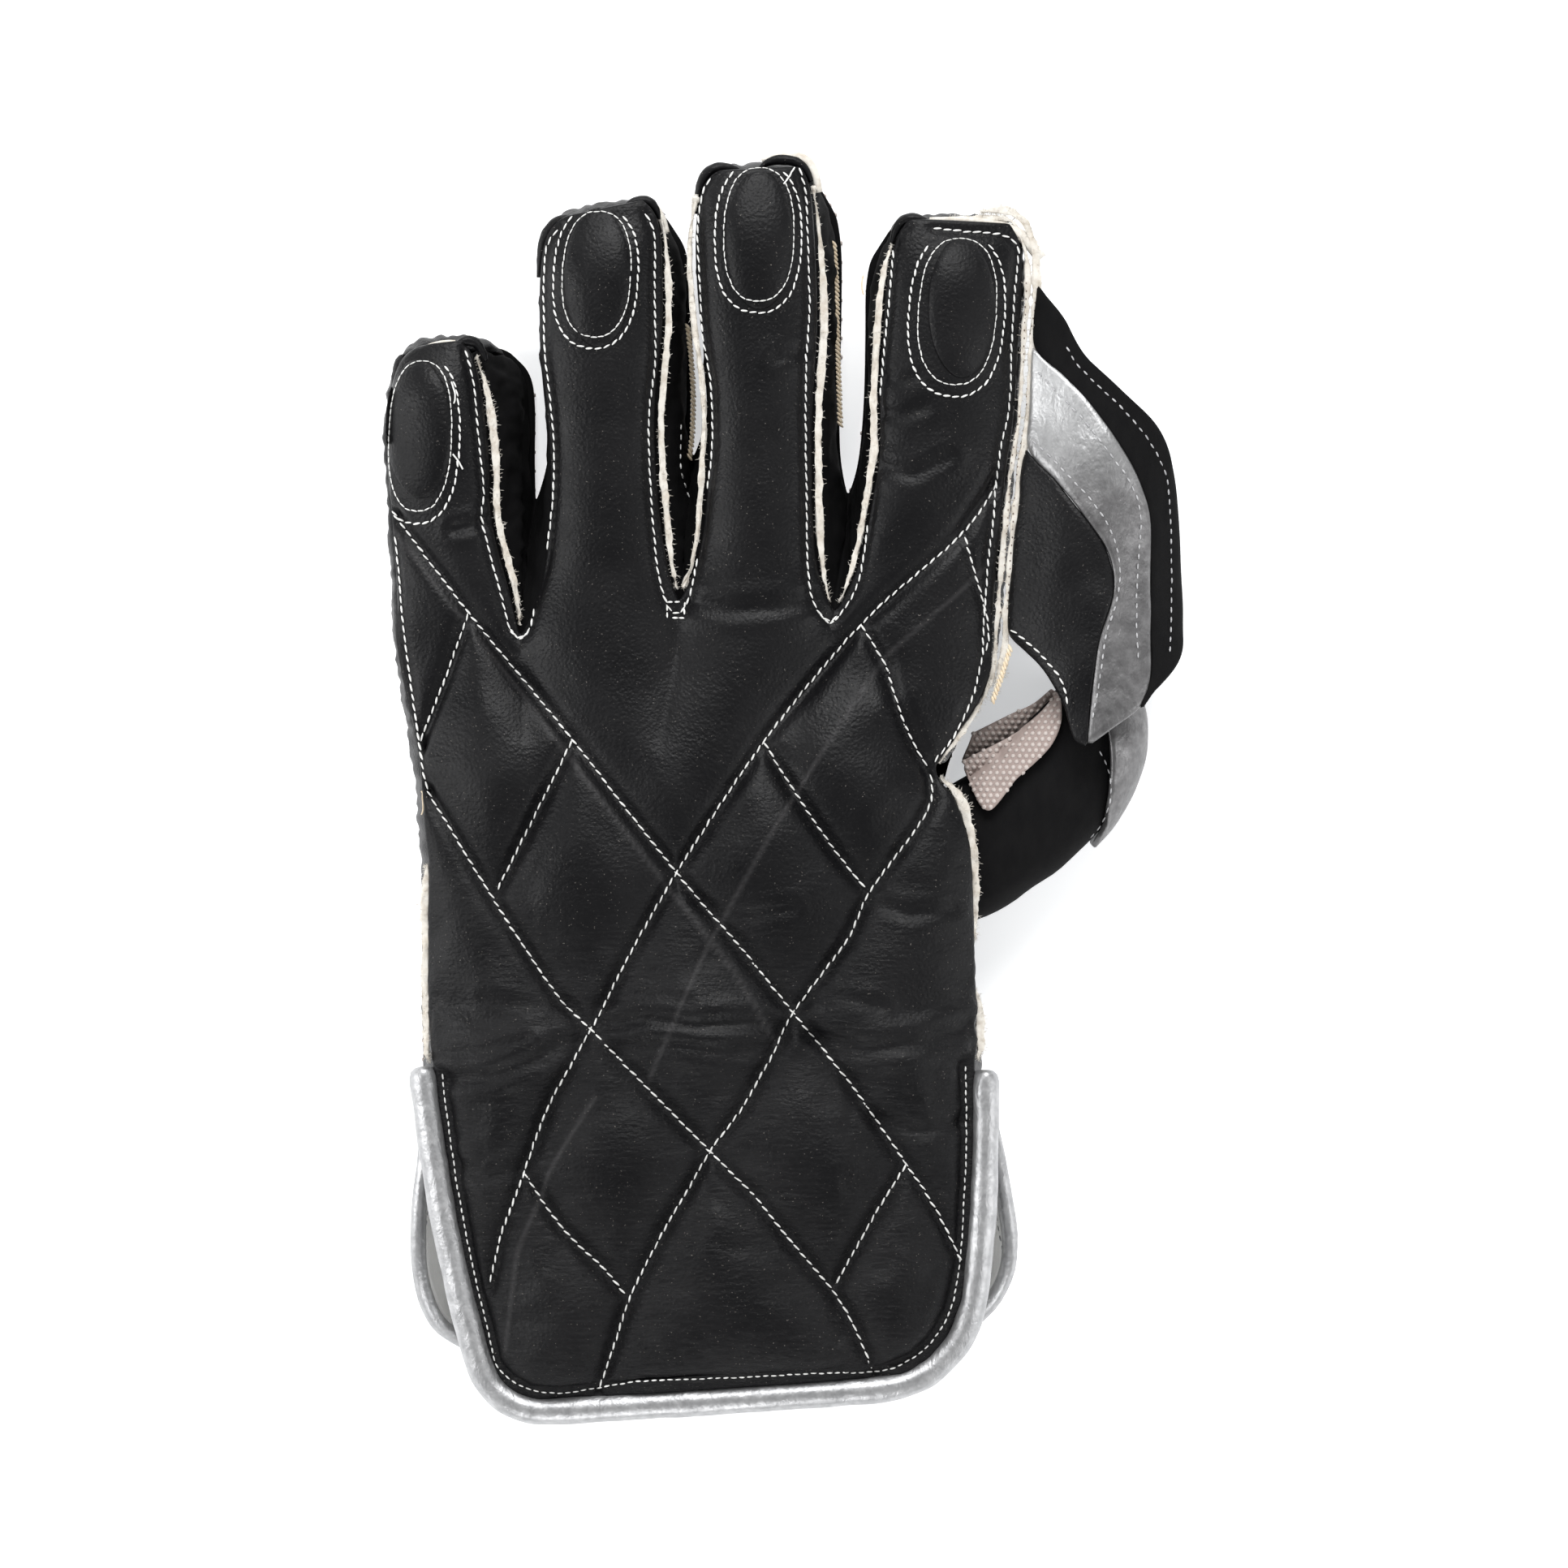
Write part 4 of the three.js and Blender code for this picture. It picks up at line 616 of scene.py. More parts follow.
def makeBack():
    piece = newPiece("quilted_back", softForm("back_panel", back["hem"]), "leather",
                     ["back_panel"])
    smoothed(piece, 2)
    seams = quilting + hemSeams
    places = placesOf(piece)
    up = normalsOf(piece)[:, 2]
    near = awayFromAll(places, seams + backEdges)
    held = np.maximum(
        1 - easedOver(near, back["heldBeside"]), 1 - eased(up, *back["heldSides"]))
    ahead = easedOver(places[:, 1], back["stiffFingers"])
    held = np.maximum(held, back["fingerHold"] * ahead)
    low = 1 - easedOver(places[:, 1], back["looseCuff"])
    puffedOut(piece, held, 1 - back["slack"] * low)
    smoothed(piece, 1)
    places = placesOf(piece)
    normals = normalsOf(piece)
    top = eased(normals[:, 2], *back["topSide"])
    near = awayFromAll(places, seams)
    edge = awayFromAll(places, backEdges)
    half = back["grooveHalf"] * mm
    rise = -back["groove"] * mm * hump(near, half)
    rise += back["lip"] * mm * hump(near - 2.6 * half, 1.4 * half)
    quilted = 1 - easedOver(places[:, 1], back["quiltedUpTo"])
    rise += back["dome"] * mm * quilted * (1 - hump(near, back["domeHalf"] * mm))
    rise -= back["edgeGroove"] * mm * hump(edge, 0.8 * half)
    for line, depth, width in creases:
        gone = awayFrom(places, line) / (width * mm)
        rise -= depth * mm * hump(gone, 1.0)
        rise += 0.5 * depth * mm * hump(gone - 2.1, 1.0)
    low = 1 - easedOver(places[:, 1], back["creasedUpTo"])
    beside = hump(near, back["rippleBeside"] * mm)
    across = places * np.array([0.3, 1.0, 0.6])
    ripple = roughness(across, back["rippleWide"] * mm, 3.0)
    rise += back["rippled"] * mm * ripple * (0.15 + 0.85 * low) * (0.25 + 0.75 * beside)
    rise += back["uneven"] * mm * roughness(places, back["unevenWide"] * mm, 5.0)
    putPlaces(piece, places + normals * (rise * top)[:, None])
    marked(piece, "creased", (0.12 + 0.88 * low) * (0.3 + 0.7 * beside))
    chalk = awayFromAll(places, chalkLines)
    marked(piece, "chalk", back["chalk"] * hump(chalk, back["chalkHalf"] * mm))
    return piece


quiltedBack = makeBack()
print("back made")
backTree = surfaceOf(quiltedBack)

# finger patches, walls and tips

patchPad = {"rise": 1.5, "sink": 0.5, "reach": 6}


def makePatches():
    # pads that lie on the finger backs, highest in the middle
    made = []
    for finger in ("little", "ring", "middle", "index"):
        name = finger + "_patch_pad"
        piece = coverNode(finger + "_finger_patch", name, "leather", lump=(9, 0.15), hem=0.3)
        places = placesOf(piece)
        up = normalsOf(piece)[:, 2]
        low, high = places.min(0), places.max(0)
        share = (places - (low + high) / 2) / ((high - low) / 2)
        rim = np.clip(1 - (share[:, 0] ** 2 + share[:, 1] ** 2) ** 1.5, 0, 1) ** 0.5
        for index, place in enumerate(places):
            hit = backTree.ray_cast(Vector((place[0], place[1], 0.1)), Vector((0, 0, -1)))
            if hit[0] is None or hit[0].z < place[2] - patchPad["reach"] * mm:
                hit = backTree.find_nearest(Vector(place))
            rise = patchPad["rise"] * rim[index] if up[index] > 0.1 else -patchPad["sink"]
            places[index, 2] = hit[0].z + rise * mm
        putPlaces(piece, places)
        made.append(piece)
    return made


patchPads = makePatches()

gathers = {"facing": (0.05, 0.4), "wide": 2.3, "upright": 0.22}


def swollen(piece, bulge, gather, outward):
    # the side that faces outwards swells between its seams, with upright gathers
    places = placesOf(piece)
    normals = normalsOf(piece)
    low, high = places[:, 2].min(), places[:, 2].max()
    up = np.clip((places[:, 2] - low) / (high - low), 0, 1)
    ahead = places + normals * mm
    facing = eased((normals * outward(places)).sum(1), *gathers["facing"])
    folds = roughness(ahead * np.array([1, 1, gathers["upright"]]), gathers["wide"] * mm, 4.0)
    rise = np.sin(np.pi * up) ** 0.8 * (bulge + gather * folds) * mm
    putPlaces(piece, places + normals * (rise * facing)[:, None])
    return piece


def towardsGap(node):
    low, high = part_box(node)
    middle = (low.x + high.x) / 2
    return lambda places: np.sign(middle - places[:, :1]) * np.array([[1.0, 0, 0]])


def towards(across, ahead):
    return lambda places: np.array([[across, ahead, 0.0]])


fingerWalls = []
for node in ("fourchette_little_ring", "fourchette_ring_middle", "fourchette_middle_index"):
    piece = coverNode(node, node + "_leather", "suede", lump=(8, 0.8), levels=3)
    fingerWalls.append(swollen(piece, bulge=1.5, gather=0.9, outward=towardsGap(node)))
for node, side in (("little_side_wall", -1), ("index_side_wall", 1), ("heel_side_wall", 1)):
    piece = coverNode(node, node + "_leather", "leather", lump=(10, 0.6), levels=3)
    swollen(piece, bulge=2.0, gather=0.7, outward=towards(side, 0.3))
for finger in ("little", "ring", "middle", "index"):
    piece = coverNode(finger + "_fingertip", finger + "_tip_gather", "leather", lump=(3, 0.3),
                      levels=3, hem=0.3)
    swollen(piece, bulge=2.5, gather=0.9, outward=towards(0, 1))
print("fingers made")

# raw leather edges

# how far each strip is drawn in at least, in millimetres
rawDrawnIn = {
    "little_raw_edge": 0.2, "ring_raw_edge": 0.2, "middle_raw_edge_left": 0.7,
    "middle_raw_edge_right": 0.2, "index_raw_edge_left": 0.2, "index_raw_edge_inner": 0.0,
    "index_raw_edge_outer": 0.0, "thumb_raw_edge": 0.1, "left_raw_edge": 0.1,
    "right_raw_edge": 0.1,
}
rawStrip = {"lump": (1.7, 0.6), "hem": 0.3, "swing": 0.5, "wave": 9}


def thinned(piece, least):
    # a cut edge is nowhere equally wide
    places = placesOf(piece)
    wave = roughness(places, rawStrip["wave"] * mm, 6.0)
    drawnIn = least + rawStrip["swing"] * (0.5 + wave)
    putPlaces(piece, places - normalsOf(piece) * drawnIn[:, None] * mm)
    return piece


rawEdges = [
    thinned(coverNode(node, node + "_strip", "raw", lump=rawStrip["lump"], levels=3,
                      hem=rawStrip["hem"]), least)
    for node, least in rawDrawnIn.items()
]

# cuff


def fattened(piece, more):
    putPlaces(piece, placesOf(piece) + normalsOf(piece) * more * mm)
    return piece


fattened(coverNode("cuff_binding", "silver_cuff_roll", "silver", lump=(6, 0.25), hem=0.3),
         more=1.3)
palmCuff = coverNode("palm_cuff", "silver_palm_cuff", "silver", lump=(18, 0.9))
cuffLining = coverNode("palm_cuff_lining", "palm_cuff_lining_cloth", "lining", lump=(16, 0.7))
coverNode("palm_cuff_rim", "silver_palm_cuff_rim", "silver", lump=(6, 0.2), levels=1, hem=0.3)
print("cuff made")

# thumb and web

thumbShell = coverNode("thumb_shell", "thumb_leather", "suede", lump=(13, 1.0), hem=0.35)
# the thumb cap wears the silver with painted shade
thumbCap = coverNode("thumb_cap", "silver_thumb_cap", "paintedShadeSilver", lump=(9, 0.4), hem=0.4)
thumbTree = surfaceOf(thumbShell)
slit = spots(1186, 938, 1218, 921, 1245, 907, 1269, 891, 1290, 872, 1304, 852)
rubberRims = {
    "lobe": spots(1190, 944, 1197, 968, 1206, 990, 1219, 1000, 1235, 984, 1252, 961, 1276, 940,
                  1297, 917, 1308, 890, 1308, 862),
    "band": spots(1200, 903, 1226, 890, 1250, 878, 1275, 866, 1298, 848),
}

thumbRubber = {"columns": 36, "rows": 9, "even": 0.1, "domeReach": 6}
lobe = {"thick": 1.4, "shellAbove": 12, "offShell": 19, "least": 17, "lift": 1.0, "dome": 1.4}
band = {"thick": 1.2, "level": 14.5, "dome": 1.2}


def makeRubber(name, rim, node, thick, heightOf):
    # a sheet of rubber between the slit and its outer rim
    columns = thumbRubber["columns"]
    bm = bmesh.new()
    rows = []
    for line in (slit, rim):
        path = walk(line, thumbRubber["even"] * mm)
        row = []
        for number in range(columns + 1):
            place = path[round(number / columns * (len(path) - 1))]
            row.append(bm.verts.new(place))
        rows.append([bm.edges.new(pair) for pair in zip(row, row[1:])])
    bmesh.ops.bridge_loops(bm, edges=rows[0] + rows[1])
    between = [edge for edge in bm.edges if edge not in rows[0] and edge not in rows[1]]
    bmesh.ops.subdivide_edges(bm, edges=between, cuts=thumbRubber["rows"], use_grid_fill=True)
    away = awayFrom(np.array([tuple(vertex.co) for vertex in bm.verts]), slit)
    for vertex, gone in zip(bm.verts, away):
        vertex.co.z = heightOf(vertex.co, gone)
    bmesh.ops.recalc_face_normals(bm, faces=bm.faces[:])
    if sum(face.normal.z for face in bm.faces) < 0:
        bmesh.ops.reverse_faces(bm, faces=bm.faces[:])
    piece = newPiece(name, bm, "rubber", [node])
    wall = piece.modifiers.new("wall", "SOLIDIFY")
    wall.thickness = thick * mm
    wall.offset = 0
    smoothed(piece, 1)
    return piece


def domed(gone):
    # how far across the edge's rise a place lies, from 0 to 1
    return min(gone / (thumbRubber["domeReach"] * mm), 1)


def overThumb(place, gone):
    hit = thumbTree.ray_cast(Vector((place.x, place.y, 0.1)), Vector((0, 0, -1)))[0]
    onShell = hit is not None and hit.z > lobe["shellAbove"] * mm
    top = hit.z if onShell else lobe["offShell"] * mm
    rise = lobe["dome"] * mm * math.sin(domed(gone) * math.pi / 2)
    return max(top, lobe["least"] * mm) + lobe["lift"] * mm + rise


def insideCrotch(place, gone):
    return band["level"] * mm + band["dome"] * mm * math.sin(domed(gone) * math.pi)


thumbLobe = makeRubber("thumb_lobe_rubber", rubberRims["lobe"], "thumb_rubber_lobe",
                       lobe["thick"], overThumb)
crotchBand = makeRubber("crotch_band_rubber", rubberRims["band"], "crotch_rubber_band",
                        band["thick"], insideCrotch)

stripEdge = spots(1288, 330, 1280, 420, 1276, 490, 1270, 532, 1260, 645, 1250, 729, 1241, 775)
web = {"tuckFrom": (1.5, 7), "tuck": 1.8, "fatten": 0.35}


def tuckedUnder(piece):
    # the web's edge runs on under the cream strip
    places = placesOf(piece)
    near = 1 - easedOver(awayFrom(places, stripEdge), web["tuckFrom"])
    places[:, 0] -= web["tuck"] * mm * near
    putPlaces(piece, places)
    return piece


webInner = tuckedUnder(coverNode("web_inner_panel", "web_inner_leather", "leather",
                                 lump=(11, 0.6)))
# the web's silver band wears the silver with painted shade, lighter towards the top
webSilver = tuckedUnder(coverNode("web_silver_band", "web_silver_leather", "paintedShadeSilver",
                                  lump=(11, 0.4)))
webOuter = tuckedUnder(coverNode("web_outer_band", "web_outer_leather", "suede",
                                 lump=(11, 0.5)))
for piece in (webSilver, webOuter):
    fattened(piece, web["fatten"])
print("thumb and web made")

# palm

palm = {"raise": 0.6, "corner": 3.0, "under": -0.6, "seamIn": 2.8}


def makePalm():
    # rubber underneath, leather on the rim and inside
    piece = coverNode("palm_panel", "palm_rubber_face", "rubber", lump=(14, 0.0), hem=0.45,
                      corner=palm["corner"])
    places = placesOf(piece)
    low = places[:, 2] < palm["raise"] * mm
    places[low, 2] = palm["raise"] * mm
    putPlaces(piece, places)
    piece.data.materials.append(finishes["suede"])
    for face in piece.data.polygons:
        if face.normal.z > palm["under"]:
            face.material_index = 1
    return piece


palmSheet = makePalm()
palmTree = surfaceOf(palmSheet)

pimples = {  # millimetres
    "palm_pimples": {"pitch": 2.8, "wide": 1.5, "tall": 0.62},
    "thumb_lobe_pimples": {"pitch": 1.65, "wide": 1.4, "tall": 0.36},
}
lobeRegion = ((62 * mm, 10 * mm), (92 * mm, 46 * mm))
pimpleField = {"rowShare": 0.866, "steepest": 0.45, "fromBelow": -0.02, "fromAbove": 0.08}


def makePimples(name, tree, low, high, below):
    # rows set half a pitch apart, each pimple upright on the surface
    size = pimples[name]
    across = size["pitch"] * mm
    ahead = size["pitch"] * pimpleField["rowShare"] * mm
    start = pimpleField["fromBelow" if below else "fromAbove"]
    ray = Vector((0, 0, 1 if below else -1))
    half = size["wide"] / 2 * mm
    scale = Matrix.Diagonal((half, half, size["tall"] * mm, 1))
    places = []
    for row in range(int((high[1] - low[1]) / ahead) + 1):
        for column in range(int((high[0] - low[0]) / across) + 1):
            place, normal = tree.ray_cast(Vector((
                low[0] + (column + 0.5 * (row % 2)) * size["pitch"] * mm,
                low[1] + row * size["pitch"] * pimpleField["rowShare"] * mm,
                start)), ray)[:2]
            if place is None or abs(normal.z) < pimpleField["steepest"]:
                continue
            places.append(upright(place, normal, scale))
    return manyOf(name, unitShape(6, 3), places, "pimples")


makePimples("palm_pimples", palmTree, *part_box("palm_panel"), True)
lobeTree = surfaceOf(thumbLobe, crotchBand)
makePimples("thumb_lobe_pimples", lobeTree, *lobeRegion, False)
print("palm made")

# stitching

stitchShape = unitShape(6, 5)
stitchSizes = {  # millimetres, and the slant in degrees
    "quilt_stitches": {"long": 2.15, "thick": 0.54, "slant": 9},
    "hem_stitches": {"pitch": 1.9, "long": 1.5, "thick": 0.44},
    "wall_stitches": {"long": 1.5, "thick": 0.45},
    "palm_edge_stitches": {"long": 1.9, "below": True},
    "patch_edge_stitches": {"pitch": 1.85, "long": 1.75, "thick": 0.36, "sink": 0.08},
    "patch_stitches": {"pitch": 2.3, "long": 2.0, "thick": 0.54, "slant": 9},
    "web_stitches": {"long": 1.5, "thick": 0.46},
    "web_hem_stitches": {"long": 2.0, "thick": 0.54, "slant": 9},
    "cuff_stitches": {"long": 1.5, "thick": 0.45},
    "thumb_cap_stitches": {"long": 1.4, "thick": 0.42},
    "crotch_tacks": {"pitch": 1.7, "long": 1.5},
    "strip_holes": {"pitch": 1.9, "long": 0.6, "thick": 0.4, "sink": 0.2},
}
# how much one stitch differs from the next
sway = {"thick": (0.85, 1.12), "aside": 0.1, "turn": 5, "long": (0.9, 1.05)}


def sewn(tree, line, long, pitch=2.4, thick=0.55, sink=0.1, below=False, slant=0.0):
    # stitches along a line, each a small rounded bar that lies on the surface
    step = 0.25 * mm
    path = walk(line, step)
    every = max(1, round(pitch * mm / step))
    reach = max(1, round(long * mm / step))
    high = Vector((0, 0, -0.02 if below else 0.12))
    ray = Vector((0, 0, 1 if below else -1))
    places = []
    for start in range(0, len(path) - reach, every):
        first = tree.ray_cast(path[start] + high, ray)
        last = tree.ray_cast(path[start + reach] + high, ray)
        if first[0] is None or last[0] is None:
            continue
        along = last[0] - first[0]
        if along.length > 2.2 * long * mm or along.length < 0.3 * long * mm:
            continue
        normal = (first[1] + last[1]).normalized()
        side = normal.cross(along).normalized()
        normal = along.cross(side).normalized()
        fat = thick * mm * random.uniform(*sway["thick"]) / 2
        middle = (first[0] + last[0]) / 2 + normal * (fat - sink * mm)
        middle += side * random.uniform(-sway["aside"], sway["aside"]) * mm
        angle = slant + random.uniform(-sway["turn"], sway["turn"])
        size = (along.length / 2 * random.uniform(*sway["long"]), fat, fat)
        places.append(barAt(middle, (along.normalized(), side, normal), angle, size))
    return places


patchSpots = 24
patchFullness = 0.82


def patchRing(center, wide, tall, tilt):
    # an oval with fuller corners, in the picture's pixels
    turn = math.radians(tilt)
    ring = []
    for number in range(patchSpots + 1):
        angle = 2 * math.pi * number / patchSpots
        across = math.copysign(abs(math.cos(angle)) ** patchFullness, math.cos(angle)) * wide
        up = math.copysign(abs(math.sin(angle)) ** patchFullness, math.sin(angle)) * tall
        ring.append(spot(
            center[0] + across * math.cos(turn) - up * math.sin(turn),
            center[1] + across * math.sin(turn) + up * math.cos(turn)))
    return ring


def makeStitches(name, tree, lines, finish="thread"):
    places = [place for line in lines for place in sewn(tree, line, **stitchSizes[name])]
    return manyOf(name, stitchShape, places, finish)


makeStitches("quilt_stitches", backTree, quilting + backEdges)
makeStitches("hem_stitches", backTree, hemSeams)
wallTree = surfaceOf(*fingerWalls)
wallSeams = [
    spots(838, 309, 841, 320, 844, 331),
    spots(838, 520, 838, 577, 849, 613),
]
makeStitches("wall_stitches", wallTree, wallSeams)


def palmSeam():
    # the palm's outline, drawn in by the width of the seam
    bm = bmesh.new()
    bm.from_mesh(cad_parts["palm_panel"].data)
    bmesh.ops.remove_doubles(bm, verts=bm.verts[:], dist=form["weld"] * mm)
    under = [face for face in bm.faces if face.normal.z < -0.9]
    inside = set(under)
    after = {}
    for face in under:
        for loop in face.loops:
            if not any(other in inside for other in loop.edge.link_faces if other is not face):
                after[loop.vert.index] = loop.link_loop_next.vert
    first = min(after)
    line = [after[first]]
    while line[-1].index != first:
        line.append(after[line[-1].index])
    outline = [Vector((vertex.co.x, vertex.co.y, 0)) for vertex in line]
    bm.free()
    outline = walk(outline + outline[:1], 1.5 * mm)
    drawn = []
    for before, place, behind in zip(outline, outline[3:], outline[6:]):
        run = (behind - before).normalized()
        drawn.append(place + Vector((run.y, -run.x, 0)) * palm["seamIn"] * mm)
    return drawn


makeStitches("palm_edge_stitches", palmTree, [palmSeam()])
patches = [  # middle, half width, half height, tilt in degrees, distance of the outer seam
    ((517, 537), 39, 93, 2, 11),
    ((735, 338), 42, 78, 3, 10),
    ((935, 289), 43, 83, 1, 10),
    ((1180, 383), 48, 91, 4, 11),
]
topTree = surfaceOf(quiltedBack, *patchPads)

patchLines = []
patchOutlines = []
for middle, wide, tall, tilt, out in patches:
    patchLines.append(patchRing(middle, wide, tall, tilt))
    around = patchRing((middle[0] - 1, middle[1] + 4), wide + out, tall + out, tilt)
    patchOutlines.append(around[20:] + around[1:17])  # open towards the fingertip
makeStitches("patch_edge_stitches", topTree, patchLines)
makeStitches("patch_stitches", topTree, patchOutlines)
webTree = surfaceOf(webInner, webSilver, webOuter)
webSeams = [
    spots(1315, 426, 1332, 452, 1362, 482, 1393, 513, 1416, 541, 1430, 566, 1440, 594, 1444, 645,
          1445, 701, 1444, 757, 1442, 807),
    spots(1280, 457, 1306, 485, 1337, 518, 1365, 555, 1388, 586, 1402, 614, 1406, 645, 1402, 701,
          1400, 757, 1402, 813),
    spots(1273, 541, 1301, 569, 1332, 602, 1357, 633, 1374, 667, 1380, 701, 1376, 740, 1362, 785,
          1354, 840, 1344, 895),
]
webHem = [spots(1246, 775, 1275, 799, 1298, 824, 1312, 849, 1315, 876)]
cuffTree = surfaceOf(palmCuff, cuffLining)
cuffSeams = [
    spots(531, 1456, 522, 1527, 521, 1569, 527, 1619),
    spots(1225, 1439, 1231, 1512, 1239, 1561, 1231, 1601, 1206, 1634),
]
capTree = surfaceOf(thumbCap, thumbShell)
capSeam = [spots(1356, 925, 1366, 945, 1370, 966, 1368, 993, 1358, 1016, 1344, 1034)]

makeStitches("web_stitches", webTree, webSeams, "silverThread")
makeStitches("web_hem_stitches", webTree, webHem)
makeStitches("cuff_stitches", cuffTree, cuffSeams, "silverThread")
makeStitches("thumb_cap_stitches", capTree, capSeam, "silverThread")
print("stitched")

tackLines = [
    spots(822, 742, 833, 742, 844, 742), spots(844, 742, 844, 752, 844, 762),
    spots(844, 762, 833, 762, 822, 762), spots(822, 762, 822, 752, 822, 742),
    spots(628, 775, 640, 788, 654, 776), spots(1010, 757, 1022, 769, 1036, 758),
]
makeStitches("crotch_tacks", backTree, tackLines)

# folded lips at the fingertips, cream edges and overlocked edges

tube = {"startAbove": 26, "weld": 0.01, "uneven": 0.12, "unevenWide": 1.6,
        "apart": (0, 40, 80)}


def tubeFrom(name, line, radii, finish, flat, lift):
    # a tapering roll on the back, its radii and lift in millimetres
    curve = bpy.data.curves.new(name, "CURVE")
    curve.dimensions = "3D"
    curve.bevel_depth = mm
    curve.bevel_resolution = 4
    curve.use_fill_caps = True
    curve.resolution_u = 8
    path = curve.splines.new("NURBS")
    path.points.add(len(line) - 1)
    heights = []
    for point, pair, radius in zip(path.points, line, radii):
        place = spot(*pair)
        near = backTree.find_nearest(place + Vector((0, 0, tube["startAbove"] * mm)))[0]
        height = near.z / mm + lift
        heights.append(height * mm)
        point.co = (place.x, place.y, height * mm, 1)
        point.radius = radius
    path.use_endpoint_u = True
    path.order_u = 4
    holder = bpy.data.objects.new(name + "_path", curve)
    bpy.context.scene.collection.objects.link(holder)
    graph = bpy.context.evaluated_depsgraph_get()
    graph.update()
    mesh = bpy.data.meshes.new_from_object(holder.evaluated_get(graph))
    bpy.data.objects.remove(holder)
    bm = bmesh.new()
    bm.from_mesh(mesh)
    bpy.data.meshes.remove(mesh)
    bmesh.ops.remove_doubles(bm, verts=bm.verts[:], dist=tube["weld"] * mm)
    middle = sum(heights) / len(heights)
    for vertex in bm.verts:
        vertex.co.z = middle + (vertex.co.z - middle) * flat
        place = vertex.co / (tube["unevenWide"] * mm)
        shift = [noise.noise(place + Vector((apart, 0, 0))) for apart in tube["apart"]]
        vertex.co += Vector(shift) * tube["uneven"] * mm
    bmesh.ops.recalc_face_normals(bm, faces=bm.faces[:])
    return newPiece(name, bm, finish)


tipLips = [
    ("ring_tip_lip_left", [(663, 340), (665, 300), (675, 274), (695, 266), (716, 266)]),
    ("ring_tip_lip_right", [(762, 268), (772, 250), (790, 243), (806, 247), (813, 268)]),
    ("middle_tip_lip_left", [(857, 262), (860, 222), (874, 205), (892, 202), (910, 207)]),
    ("middle_tip_lip_right", [(936, 205), (948, 195), (970, 193), (992, 200), (1000, 222)]),
    ("index_tip_lip", [(1099, 300), (1104, 274), (1118, 265), (1134, 266), (1150, 275)]),
    ("little_tip_lip", [(556, 432), (566, 419), (578, 415), (592, 424), (598, 444)]),
]
tipLip = {"radii": (0.5, 1.2, 1.5, 1.3, 0.5), "flat": 1.2, "lift": -1.9}
for name, line in tipLips:
    tubeFrom(name, line, tipLip["radii"], "leather", tipLip["flat"], tipLip["lift"])
creamLips = [
    ("middle_tip_cream", [(938, 196), (962, 188), (990, 190), (1004, 204), (1009, 235)],
     (0.5, 1.3, 1.4, 1.3, 0.9)),
    ("index_tip_cream", [(1146, 268), (1190, 268), (1235, 272), (1265, 286), (1284, 315)],
     (0.5, 1.1, 1.3, 1.6, 1.6)),
    ("little_tip_cream", [(500, 440), (520, 427), (540, 421), (560, 420)], (0.5, 1.1, 1.1, 0.6)),
    ("ring_tip_cream", [(800, 246), (814, 256), (820, 285)], (0.5, 1.2, 1.0)),
]
creamLip = {"flat": 1.2, "lift": -2.6}
for name, line, radii in creamLips:
    tubeFrom(name, line, radii, "raw", creamLip["flat"], creamLip["lift"])
looseThreads = [
    ("left_loose_thread", [(519, 975), (527, 984), (521, 994), (530, 1003)], "cord"),
    ("left_loose_loop", [(524, 968), (516, 982), (525, 990), (519, 1004)], "cord"),
    ("little_loose_end", [(556, 470), (563, 486), (559, 497)], "thread"),
    ("little_loose_curl", [(558, 560), (566, 568), (570, 578)], "thread"),
    ("middle_loose_end", [(966, 226), (974, 215), (979, 205)], "thread"),
    ("index_loose_end", [(1064, 362), (1060, 350), (1064, 338)], "cord"),
]
looseThread = {"radius": 0.2, "flat": 1.0, "lift": 0.5}
for name, line, finish in looseThreads:
    tubeFrom(name, line, [looseThread["radius"]] * len(line), finish, looseThread["flat"],
             looseThread["lift"])
overlock = {"pitch": 1.15, "long": 1.15, "wide": 0.42, "high": 0.62, "slant": 38, "turn": 6}


def makeOverlock(name, line, height):
    # slanting loops of thread along an edge
    places = []
    path = walk([spot(*pair) for pair in line], overlock["pitch"] * mm)
    for first, second in zip(path, path[1:]):
        run = (second - first).normalized()
        middle = (first + second) / 2 + Vector((0, 0, height * mm))
        side = Vector((0, 0, 1)).cross(run)
        angle = overlock["slant"] + random.uniform(-overlock["turn"], overlock["turn"])
        size = [overlock[key] * mm for key in ("long", "wide", "high")]
        places.append(barAt(middle, (run, side, Vector((0, 0, 1))), angle, size))
    return manyOf(name, unitShape(8, 6), places, "cord")


makeOverlock("middle_overlock", [(1028, 292), (1031, 340), (1032, 400), (1034, 460), (1036, 525)],
             8.5)
makeOverlock("ring_overlock", [(846, 395), (850, 430), (853, 480), (852, 530), (848, 565)], 8.5)
makeOverlock("web_overlock", [(1246, 796), (1240, 815), (1232, 840), (1222, 868)], 27.0)

rawTree = surfaceOf(*rawEdges)
holeLines = [
    spots(1266, 345, 1263, 420, 1262, 490, 1252, 532, 1246, 588, 1240, 673, 1233, 757, 1228, 800),
    spots(1281, 350, 1268, 430, 1266, 490, 1261, 532, 1253, 588, 1247, 673, 1241, 757),
]
makeStitches("strip_holes", rawTree, holeLines, "hole")

fuzz = {"oneIn": 6, "lean": 0.8, "long": (0.3, 0.95), "thick": 0.07}


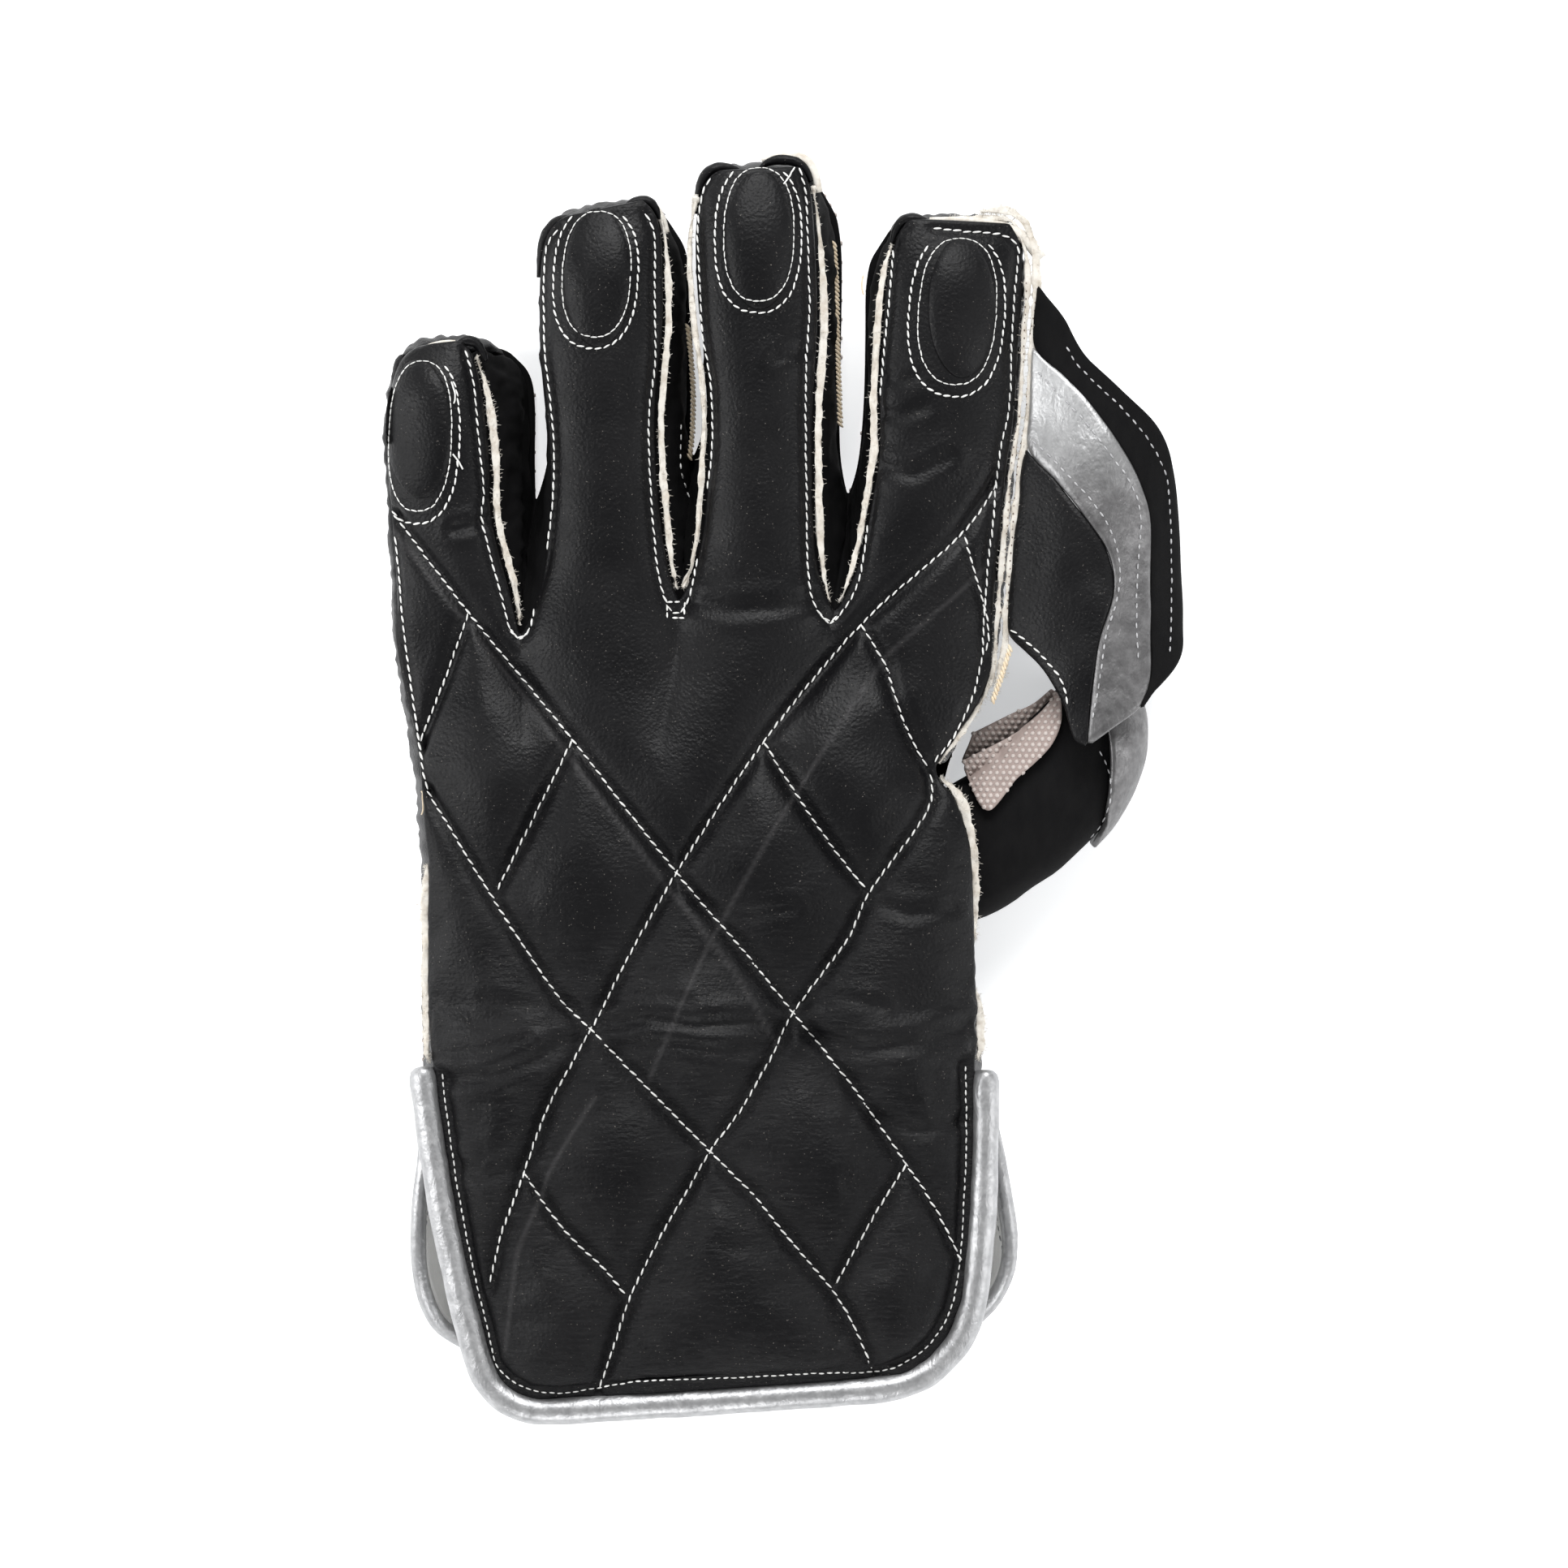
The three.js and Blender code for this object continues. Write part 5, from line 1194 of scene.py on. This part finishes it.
def makeFuzz(pieces):
    # short fibres that stand off the cut edges
    places = []
    for piece in pieces:
        vertices = piece.data.vertices
        for vertex in random.sample(list(vertices), len(vertices) // fuzz["oneIn"]):
            lean = Vector((random.uniform(-1, 1), random.uniform(-1, 1), random.uniform(-1, 1)))
            aim = (vertex.normal + lean * fuzz["lean"]).normalized()
            long = random.uniform(*fuzz["long"]) * mm
            size = Matrix.Diagonal((fuzz["thick"] * mm, fuzz["thick"] * mm, long, 1))
            places.append(upright(vertex.co + aim * long * 0.5, aim, size))
    return manyOf("raw_edge_fuzz", unitShape(3, 3), places, "raw")


makeFuzz(rawEdges)
print("edges dressed")

# floor, light and camera

room = {"floor": 4.0, "glow": 0.5, "world": 0.36}
lights = [  # name, place and size in metres, power in watts
    ("above", (0.1, 1.5, 1.2), (1.4, 0.6), 34),
    ("leftSide", (-1.5, 0.2, 0.85), (0.6, 1.3), 17),
    ("rightSide", (1.5, -0.1, 0.9), (0.6, 1.3), 9),
    ("below", (-0.1, -1.5, 0.9), (1.2, 0.5), 12),
    ("lowLeft", (-1.3, -1.0, 0.35), (0.8, 0.3), 3),
    ("lowRight", (1.3, -1.0, 0.35), (0.8, 0.3), 3),
]


def makeFloor():
    bm = bmesh.new()
    bmesh.ops.create_grid(bm, x_segments=2, y_segments=2, size=room["floor"] / 2)
    mesh = bpy.data.meshes.new("floor")
    bm.to_mesh(mesh)
    bm.free()
    floor = bpy.data.objects.new("floor", mesh)
    bpy.context.scene.collection.objects.link(floor)
    material, tree, surface, place = startMaterial(
        "floor_white", (0.9, 0.9, 0.9), 0.9, specular=0.1)
    surface.inputs["Emission Color"].default_value = (0.96, 0.98, 1.0, 1)
    surface.inputs["Emission Strength"].default_value = room["glow"]
    mesh.materials.append(material)


def addLight(name, place, size, power):
    light = bpy.data.lights.new(name, "AREA")
    light.shape = "RECTANGLE"
    light.size, light.size_y = size
    light.energy = power
    lamp = bpy.data.objects.new(name, light)
    lamp.location = place
    lamp.rotation_euler = (-Vector(place)).to_track_quat("-Z", "Y").to_euler()
    bpy.context.scene.collection.objects.link(lamp)


makeFloor()
for light in lights:
    addLight(*light)
world = bpy.data.worlds.new("studio")
bpy.context.scene.world = world
world.use_nodes = True
world.node_tree.nodes["Background"].inputs["Color"].default_value = (1, 1, 1, 1)
world.node_tree.nodes["Background"].inputs["Strength"].default_value = room["world"]
bpy.context.scene.view_settings.view_transform = "Standard"

# straight above the picture's middle, 2.5 m over the top of the glove
view = {"away": 2.5, "gloveTop": 0.03, "sensor": 36}
camera = bpy.data.cameras.new("camera")
camera.sensor_width = view["sensor"]
camera.lens = view["sensor"] * view["away"] / (picture["side"] * picture["pixel"])
holder = bpy.data.objects.new("camera", camera)
half = picture["side"] / 2
holder.location = spot(half, half) + Vector((0, 0, view["away"] + view["gloveTop"]))
bpy.context.scene.collection.objects.link(holder)
bpy.context.scene.camera = holder

print("finishing")
